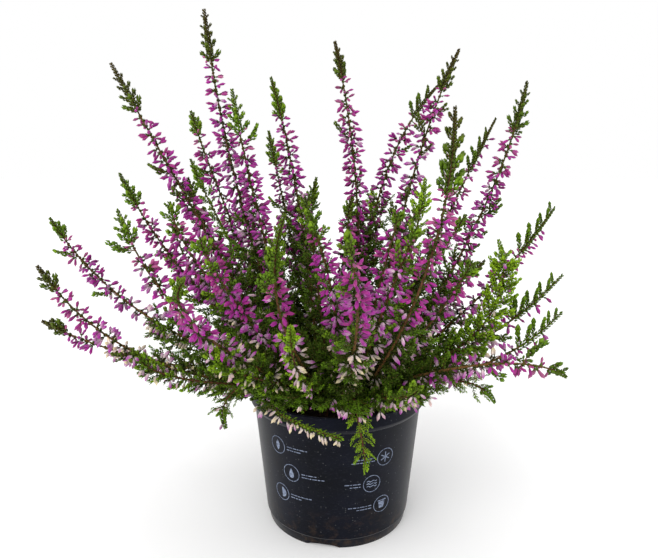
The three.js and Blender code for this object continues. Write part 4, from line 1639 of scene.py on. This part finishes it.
def add_cluster(growth, route, length, turn, size, rng, age, counts, nod):
    """One cluster of buds that nods a little, and more on a leaning stem."""
    here, way, out = route.around(length, turn)
    lean = 1 - abs(way[2])
    if out[2] > 0.35 and rng.random() < 0.3 * lean + 0.1:
        return
    count = rng.choice(counts)
    near = min(1.0, max(0.0, -here[1] / NEAR_REACH - 1))
    size *= rng.uniform(0.85, 1.1) * mix(1.0, NEAR_SIZE, near)
    nod = nod + rng.uniform(-0.15, 0.15) + 0.25 * lean
    out = unit(out + 0.5 * lean * way - Z_AXIS * nod + rng.uniform(-0.3, 0.3) * np.cross(way, out))
    seat = seat_at(here + out * 0.3, out, way, size)
    reach = out * size * cluster_reach[count]
    if is_clear_of_pot(here + reach) and not hides_stem(here + reach * 0.6):
        old = OLDER if rng.random() < OLD_BUDS * (3 if age > OLD_FROM else 1) else 0.0
        growth.add(rng.choice(clusters[count]), seat, age=age + old + rng.uniform(-0.14, 0.14),
                   tone=rng.uniform(-0.3, 0.15))


print("one cluster in", round(1 / OLD_BUDS), "is old")

# %% [markdown]
# Age is worked out from the place of a leaf or bud, so that neighbours on
# different stems match. Leaves deep inside are older and get a painted shade
# that makes them darkest, and buds fade towards the pot.

# %% Ages
# the deepest leaves get this age, whose near black green is painted shade
DEEP_LEAF_AGE_AND_SHADE = 0.95
LEAF_FRESH = 0.35
# leaves get fresher, and lose their painted shade, over this reach from the middle and this rise
# above this height
OUTER_REACH = 130
OUTER_FROM = 110
OUTER_RISE = 200
FRESH_HEIGHT = 170.0
FADED_HEIGHT = 116.0
# a bud this far out from the rim stays as fresh as one at the full height
FRESH_REACH = 260
MAGENTA_AGE = 0.34
FADED_AGE = 0.95
# the lowest buds of any stem are faded, and the highest are rosy
FOOT_FADE = 0.75
FOOT_SPAN = 0.4
ROSY_FROM = 0.7
ROSY_SPAN = 0.3
ROSY_SHARE = 0.15


def age_and_inner_shade(point):
    """Leaves deep in the plant are old and painted dark for the shade there, those outside are
    fresher.
    """
    outward = math.hypot(point[0], point[1]) / OUTER_REACH
    outward += (point[2] - OUTER_FROM) / OUTER_RISE
    return DEEP_LEAF_AGE_AND_SHADE - LEAF_FRESH * min(1.0, max(0.0, outward))


def bud_age(point, share, offset):
    """Buds are rosy at the tip, magenta below, and fade towards the pot."""
    outward = max(0.0, math.hypot(point[0], point[1]) - RIM_RADIUS) / FRESH_REACH
    low = 1 - (point[2] - FADED_HEIGHT) / (FRESH_HEIGHT - FADED_HEIGHT) - outward
    faded = max(0.0, min(1.0, low), FOOT_FADE * (FOOT_SPAN - share) / FOOT_SPAN)
    age = mix(MAGENTA_AGE, FADED_AGE, faded) + offset
    return age * mix(1.0, ROSY_SHARE, max(0.0, share - ROSY_FROM) / ROSY_SPAN)


print("buds fade from", FRESH_HEIGHT, "down to", FADED_HEIGHT, "mm above the floor")

# %% [markdown]
# ## The skirt
#
# Low shoots hide the feet of the outer stems. At the front they branch on
# over the rim of the pot, and some of them hold faded buds.

# %% Low shoots at the foot of a stem
SKIRT_FROM = 26.0
SKIRT_SHOOTS = 5
SKIRT_START = 4
SKIRT_STEP = 2.4
SKIRT_REACH = (12.0, 18.0)
SKIRT_FRONT = -18.0
FRONT_SHOOTS = 6
FRONT_STEPS = 3
OVER_RIM = 5.0
SKIRT_BUDS = 0.5
SKIRT_BUD_SIZE = 0.85


def rise_over_rim(here):
    """How steeply a front shoot climbs from here to pass over the rim."""
    to_rim = max(8.0, RIM_RADIUS - math.hypot(here[0], here[1]))
    return max(-0.3, (POT_HEIGHT + OVER_RIM - here[2]) / to_rim) - 0.1


def add_skirt(growth, buds, route, rng):
    """Low shoots at the foot of an outer stem; at the front they branch on over the rim."""
    foot = route.at(ROOT_DEPTH)[0]
    if math.hypot(foot[0], foot[1]) < SKIRT_FROM:
        return
    outward = math.atan2(foot[1], foot[0])
    is_front = foot[1] < SKIRT_FRONT
    for i in range(FRONT_SHOOTS if is_front else SKIRT_SHOOTS):
        here = route.at(ROOT_DEPTH + SKIRT_START + SKIRT_STEP * i)[0]
        for step in range(FRONT_STEPS if is_front else 1):
            swing = rng.uniform(-0.9, 0.9) / (0.5 * step + 1)
            rise = rng.uniform(0.0, 0.35)
            if is_front:
                rise += rise_over_rim(here)
            out = unit(np.array([math.cos(outward + swing), math.sin(outward + swing), rise]))
            along = unit(np.cross(Z_AXIS, out) * (-1 if swing > 0 else 1) + 0.45 * Z_AXIS)
            reach = rng.uniform(*SKIRT_REACH)
            ends = [here + (out * 0.8 + along * 0.5) * reach * share for share in (1.0, 0.75, 0.5)]
            fits = [is_clear_of_pot(end) and is_clear_of_pot(mix(here, end, 0.6)) for end in ends]
            if not any(fits):
                break
            end = ends[fits.index(True)]
            size = np.linalg.norm(end - here) / SHOOT_LENGTH
            growth.add(rng.choice(shoots["inner"]), seat_at(here, out, along, size),
                       age=rng.uniform(0.45, 0.8))
            here = mix(here, end, 0.8)
            hang = unit(out + rng.uniform(-0.6, 0.6) * along - rng.uniform(0.2, 0.9) * Z_AXIS)
            has_buds = step > 0 and rng.random() < SKIRT_BUDS
            if has_buds and is_clear_of_pot(here + hang * cluster_reach[2]):
                buds.add(rng.choice(clusters[rng.choice((1, 2))]),
                         seat_at(here, hang, Z_AXIS, SKIRT_BUD_SIZE),
                         age=rng.uniform(0.65, 0.95), tone=rng.uniform(-0.2, 0.3))


print("a skirt has", SKIRT_SHOOTS, "low shoots, or", FRONT_SHOOTS, "at the front")

# %% [markdown]
# ## Growing a spray
#
# A spray is grown from its foot to its tip. Deep inside the plant hardly
# anything shows, so only a quarter of the shoots and buds is grown there.

# %% Side shoots low on a spray
DRIFT = 0.42
SIDE_SPACING = 3.9
SIDE_REACH = (17.0, 13.0)
HIDDEN_RADIUS = 36.0
HIDDEN_HEIGHT = 150.0
HIDDEN_SHARE = 0.25


def shown_share(point):
    """How much is grown at a place: less so deep in the plant that little shows."""
    is_hidden = math.hypot(point[0], point[1]) < HIDDEN_RADIUS and point[2] < HIDDEN_HEIGHT
    return HIDDEN_SHARE if is_hidden else 1.0


def add_side_shoots(growth, route, start, leafy, rng):
    """Pairs of leafy side shoots over a length, fewer and shorter towards the buds."""
    pairs = round(leafy / SIDE_SPACING)
    for i in range(pairs):
        share = i / pairs
        length = start + leafy * share
        here = route.at(length)[0]
        for side in BOTH_SIDES:
            if rng.random() < mix(1.0, 0.5, share) * shown_share(here):
                add_shoot(growth, route, length, i * (QUARTER + DRIFT) + side,
                          mix(*SIDE_REACH, share), shoots["inner"], rng, age_and_inner_shade(here))


print("side shoots stand", SIDE_SPACING, "mm apart")

# %% [markdown]
# Bud clusters stand in pairs from low on the stem up to its green tip. They
# are small at both ends and full between, where hardly one is missing. A
# comb-like tip has some more buds along its lower part.

# %% Buds of a spray
BUD_SPACING = 3.35
# how many buds a cluster may have low down, in the main part, and at the top
LOW_COUNTS = (1, 1, 2, 2)
MAIN_COUNTS = (2, 2, 3, 3, 4)
TOP_COUNTS = (1, 2, 2)
LOW_TO = 0.35
MAIN_TO = 0.9
# low down and at the top: the size of the clusters, how far they nod, and how often a
# leafy shoot stands between them
BUD_SIZES = (1.04, 0.94)
BUD_NODS = (0.5, -0.1)
BETWEEN_CHANCES = (0.25, 0.04)
BETWEEN_REACH = (9, 14)
# the last clusters under the green tip get smaller
TOP_FROM = 0.88
TOP_SPAN = 0.12
TOP_SIZE = 0.66
FULL_CHANCE = 0.94
LEAN_LOSS = 0.25
COMB_BUDS = 0.6
COMB_BUD_AGE = 0.25


def add_bud_pairs(green, buds, route, first, end, low_buds, offset, look, rng):
    """Pairs of bud clusters up to the green tip, with a few leafy shoots between them."""
    pairs = round((end - first) / BUD_SPACING)
    for i in range(pairs):
        share = i / pairs
        length = mix(first, end, share)
        here, way = route.at(length)
        age = bud_age(here, share, offset)
        counts = LOW_COUNTS if share < LOW_TO else MAIN_COUNTS if share < MAIN_TO else TOP_COUNTS
        size = mix(*BUD_SIZES, share)
        size *= mix(1.0, TOP_SIZE, max(0.0, share - TOP_FROM) / TOP_SPAN)
        full = 1 - LEAN_LOSS * (1 - abs(way[2]))
        chance = mix(low_buds, FULL_CHANCE, min(1.0, share * 3)) * shown_share(here) * full
        for side in BOTH_SIDES:
            turn = i * (QUARTER + DRIFT) + side + rng.uniform(-0.3, 0.3)
            place = length + rng.uniform(-1.1, 1.1) + (BUD_SPACING / 2 if side else 0.0)
            if rng.random() < chance:
                add_cluster(buds, route, place, turn, size, rng, age, counts,
                            mix(*BUD_NODS, share))
            if rng.random() < mix(*BETWEEN_CHANCES, min(1.0, share * 1.6)):
                add_shoot(green, route, length, turn + 1.2, rng.uniform(*BETWEEN_REACH),
                          shoots["scaly"], rng, look["age"][0] + 0.1, look["dark"][0])


def add_comb_buds(buds, route, start, green_length, rng):
    """Buds that hang from the lower part of a comb-like tip."""
    for i in range(round(green_length * COMB_BUDS / BUD_SPACING)):
        length = start + i * BUD_SPACING
        out = route.around(length, i * QUARTER)[2]
        turn = i * QUARTER + (math.pi if out[2] > 0 else 0.0)
        add_cluster(buds, route, length, turn, 0.85, rng, COMB_BUD_AGE, (1, 1, 2), 0.0)


print("buds stand", BUD_SPACING, "mm apart")

# %% [markdown]
# Wood comes first, then the skirt, the side shoots, the buds and the tip.
# Stems at the back are leafy further up, and those at the front have buds
# lower down.

# %% One flowering spray
BARE_TO = 0.1
# a tip this far behind or before the middle counts as far or near
REAR_FROM = 30.0
LEAFY_TO = 0.54
REAR_LEAFY_TO = 0.65
BUD_FROM = 0.2
LOW_BUDS = {"near": 0.88, "far": 0.5}


def grow_spray(route, green_length, look, rng):
    """The greenery and the buds of one flowering spray."""
    green, buds = Growth(plant_box), Growth(plant_box)
    add_stem(green, route)
    add_skirt(green, buds, route, rng)
    leaf_start = mix(ROOT_DEPTH + STRAIGHT, route.bend_end, BARE_TO)
    green_start = route.length - green_length
    bare = green_start - leaf_start
    is_far = route.points[-1][1] > REAR_FROM
    is_near = route.points[-1][1] < -REAR_FROM
    add_side_shoots(green, route, leaf_start, bare * (REAR_LEAFY_TO if is_far else LEAFY_TO), rng)
    offset = rng.uniform(-0.08, 0.1) + look.get("bloom", 0.0)
    low_buds = LOW_BUDS["near" if is_near else "far"]
    first = leaf_start + bare * BUD_FROM * (0.5 if is_near else 1.0)
    add_scales(green, route, first, green_start, rng)
    add_bud_pairs(green, buds, route, first, green_start, low_buds, offset, look, rng)
    add_green_end(green, route, green_start, look, rng)
    if look.get("is_comb", False):
        add_comb_buds(buds, route, green_start, green_length, rng)
    return green, buds


print("side shoots go up to", LEAFY_TO, "of a stem, at the back", REAR_LEAFY_TO)

# %% [markdown]
# Each spray has a seed of its own, so a change to one leaves the others as
# they are. It becomes two pieces, its greenery and its buds, and both replace
# the same CAD solid.

# %% Grow the flowering sprays
SEED = 4711
plant_materials = [bark, leaf_green]
bud_materials = [sepal, leaf_green]
total = {"greenery": 0, "buds": 0}
for i, (_, _, green_length, word) in enumerate(FLOWERING):
    name = names[i]
    rng = random.Random(SEED + i)
    green, buds = grow_spray(routes[name], green_length, TIP_LOOKS[word], rng)
    for growth, part, materials, slot in ((green, "greenery", plant_materials, "heather_leaf"),
                                          (buds, "buds", bud_materials, "heather_bud")):
        mesh = growth.to_mesh(f"{name}_{part}")
        finish_piece(mesh, f"{name}_{part}", materials, slot, name)
        total[part] += len(mesh.polygons)
print("triangles of the flowering sprays:", total)

# %% [markdown]
# ## Growing the leafy shoots
#
# Shoots without a flower spike carry leafy side shoots all the way up. Many
# also hold some faded buds.

# %% Builds of leafy shoots
LEAFY_AGES = {"bright": 0.2, "green": 0.4, "dark": 0.7, "twig": 0.45, "fresh": 0.12}
# Each build: side shoots, their reach at the foot and the tip, how far apart they stand,
# the gap between scale leaves, and the share of the stem where its green end begins.
LEAFY_BUILDS = {
    "scaly": (shoots["scaly"], (13.0, 7.0), 6.0, 2.2, 0.88),
    "bushy": (shoots["scaly"], (15.0, 10.0), 3.4, 2.2, 0.88),
    "slender": (shoots["scaly"], (10.0, 6.0), 4.6, 2.2, 0.88),
    "feathery": (shoots["fresh"], (12.0, 6.0), 4.2, 2.2, 0.96),
    "twiggy": (shoots["fresh"], (12.0, 8.0), 4.4, 2.2, 0.88),
    "inner": (shoots["inner"], (16.0, 11.0), 4.6, 2.2, 0.88),
    "garland": (shoots["fresh"][:1], (3.8, 2.4), 2.8, 1.2, 0.98),
}
# the buds of a leafy shoot: their size, how many stand together, and how far they nod
LEAFY_BUDS = (0.85, (1, 1, 2, 3), 0.6)
GARLAND_BUDS = (0.78, (1, 1, 1, 2), 0.3)
print("builds of leafy shoots:", ", ".join(LEAFY_BUILDS))

# %% [markdown]
# A leafy shoot is grown like a spray, but with side shoots all the way and
# with its buds turned away from the pot.

# %% One leafy stem
LEAFY_STEM_AGE = 0.3
LEAFY_BUDS_FROM = 0.35
BUD_TURN = 2.4
BUD_END = 3


def grow_leafy(route, word, build, bud_count, faded, rng):
    """One leafy shoot with its side shoots, tip and perhaps some buds."""
    green, buds = Growth(plant_box), Growth(plant_box)
    kinds, reach, spacing, scale_gap, green_from = LEAFY_BUILDS[build]
    add_stem(green, route, oldest=LEAFY_STEM_AGE)
    start = mix(ROOT_DEPTH + STRAIGHT, route.bend_end, BARE_TO)
    tip_start = route.length * green_from
    young = LEAFY_AGES[word]
    add_scales(green, route, start, tip_start, rng, spacing=scale_gap,
               tilts=(14, 44), sizes=(1.6, 2.8), ages=(young, young + 0.25), darks=(0.0, 0.3))
    pairs = round((tip_start - start) / spacing)
    for i in range(pairs):
        share = i / pairs
        length = mix(start, tip_start, share)
        age = max(young, mix(0.9, young, min(1.0, share * 1.4)))
        for side in BOTH_SIDES:
            add_shoot(green, route, length, i * (QUARTER + DRIFT) + side,
                      mix(*reach, share), kinds, rng, age)
    add_green_end(green, route, tip_start, TIP_LOOKS[word], rng)
    first = mix(start, tip_start, LEAFY_BUDS_FROM)
    size, counts, nod = GARLAND_BUDS if build == "garland" else LEAFY_BUDS
    for i in range(bud_count):
        length = mix(first, route.length - BUD_END, (i + 0.5) / bud_count)
        here, _, out = route.around(length, i * BUD_TURN)
        faces_pot = np.dot(out, (here[0], here[1], -30.0)) < 0
        turn = i * BUD_TURN + (math.pi if faces_pot else 0.0)
        add_cluster(buds, route, length, turn, size, rng, faded, counts, nod)
    return green, buds


print("a leafy shoot has its buds from", LEAFY_BUDS_FROM, "of its length")

# %% [markdown]
# Neighbouring shoots become one piece each, as they look like one bush. All
# their faded buds are one more piece, because they share a finish.

# %% Grow the leafy shoots
LEAFY_GROUPS = {
    "back": (1, 2, 3, 15, 16),
    "middle": (4, 17),
    "left": (6, 7, 8, 12),
    "front": (9, 11, 13, 14),
    "right": (5, 10),
}
faded_buds = Growth()
with_buds = []
for side, numbers in LEAFY_GROUPS.items():
    greenery = Growth()
    grown = [f"leafy_shoot_{number:02d}" for number in numbers]
    for name, number in zip(grown, numbers):
        _, _, word, build, bud_count, faded = LEAFY[number - 1]
        rng = random.Random(SEED + len(FLOWERING) + number)
        green, buds = grow_leafy(routes[name], word, build, bud_count, faded, rng)
        greenery.add(green.to_shape())
        if bud_count:
            faded_buds.add(buds.to_shape())
            with_buds.append(name)
    mesh = greenery.to_mesh(f"leafy_shoots_{side}")
    finish_piece(mesh, f"leafy_shoots_{side}", plant_materials, "heather_leaf", *grown)
    print("leafy shoots,", side, len(mesh.polygons), "triangles")
mesh = faded_buds.to_mesh("faded_buds")
finish_piece(mesh, "faded_buds", bud_materials, "heather_bud", *with_buds)
print("faded buds:", len(mesh.polygons), "triangles")

# %% [markdown]
# ## Crumbs on the soil
#
# Loose crumbs of peat and slivers of bark lie on the surface. Each is a
# small icosphere squeezed out of round.

# %% Crumbs
CRUMBS = 450
CRUMB_SIZES = (0.8, 2.4)
CRUMB_LIFT = 0.1


def make_crumb(seed):
    """A rough crumb about 1 mm across."""
    bm = bmesh.new()
    bmesh.ops.create_icosphere(bm, subdivisions=1, radius=0.5)
    for vert in bm.verts:
        vert.co *= 1 + 0.35 * noise.noise(vert.co * 2.7 + Vector((seed, 0, 0)))
    return to_shape(bm, 0)


crumb_shapes = [make_crumb(seed) for seed in range(5)]
rng = random.Random(SEED)
crumbs = Growth()
for _ in range(CRUMBS):
    radius = (soil_edge - 2) * math.sqrt(rng.random())
    turn = rng.uniform(0, math.tau)
    x, y = radius * math.cos(turn), radius * math.sin(turn)
    size = rng.uniform(*CRUMB_SIZES)
    heading = np.array([math.cos(turn * 7), math.sin(turn * 7), 0.2])
    seat = seat_at((x, y, soil_height(radius) + CRUMB_LIFT), heading, Z_AXIS, size)
    seat[:3, 1] *= rng.uniform(0.4, 0.9)
    seat[:3, 2] *= rng.uniform(0.5, 0.9)
    crumbs.add(rng.choice(crumb_shapes), seat)
print("crumbs:", CRUMBS)

# %% [markdown]
# The crumbs are joined to the soil's own mesh, so that the soil stays one
# piece, as it is in the pot.

# %% Finish the soil
crumb_mesh = crumbs.to_mesh("crumbs")
bm = bmesh.new()
bm.from_mesh(soil_mesh)
bm.from_mesh(crumb_mesh)
bm.to_mesh(soil_mesh)
bm.free()
bpy.data.meshes.remove(crumb_mesh)
soil_mesh.shade_smooth()
finish_piece(soil_mesh, "peat_soil", [peat], "peat", "potting_soil")
print("soil and crumbs:", count_triangles(soil_mesh), "triangles")

# %% [markdown]
# ## Sizes
#
# The dressed plant has to stay inside the box of the CAD model, so that
# box is written down.

# %% Write the sizes and finish
print("CAD box", [round(v / MM, 1) for v in (*cad_low, *cad_high)])
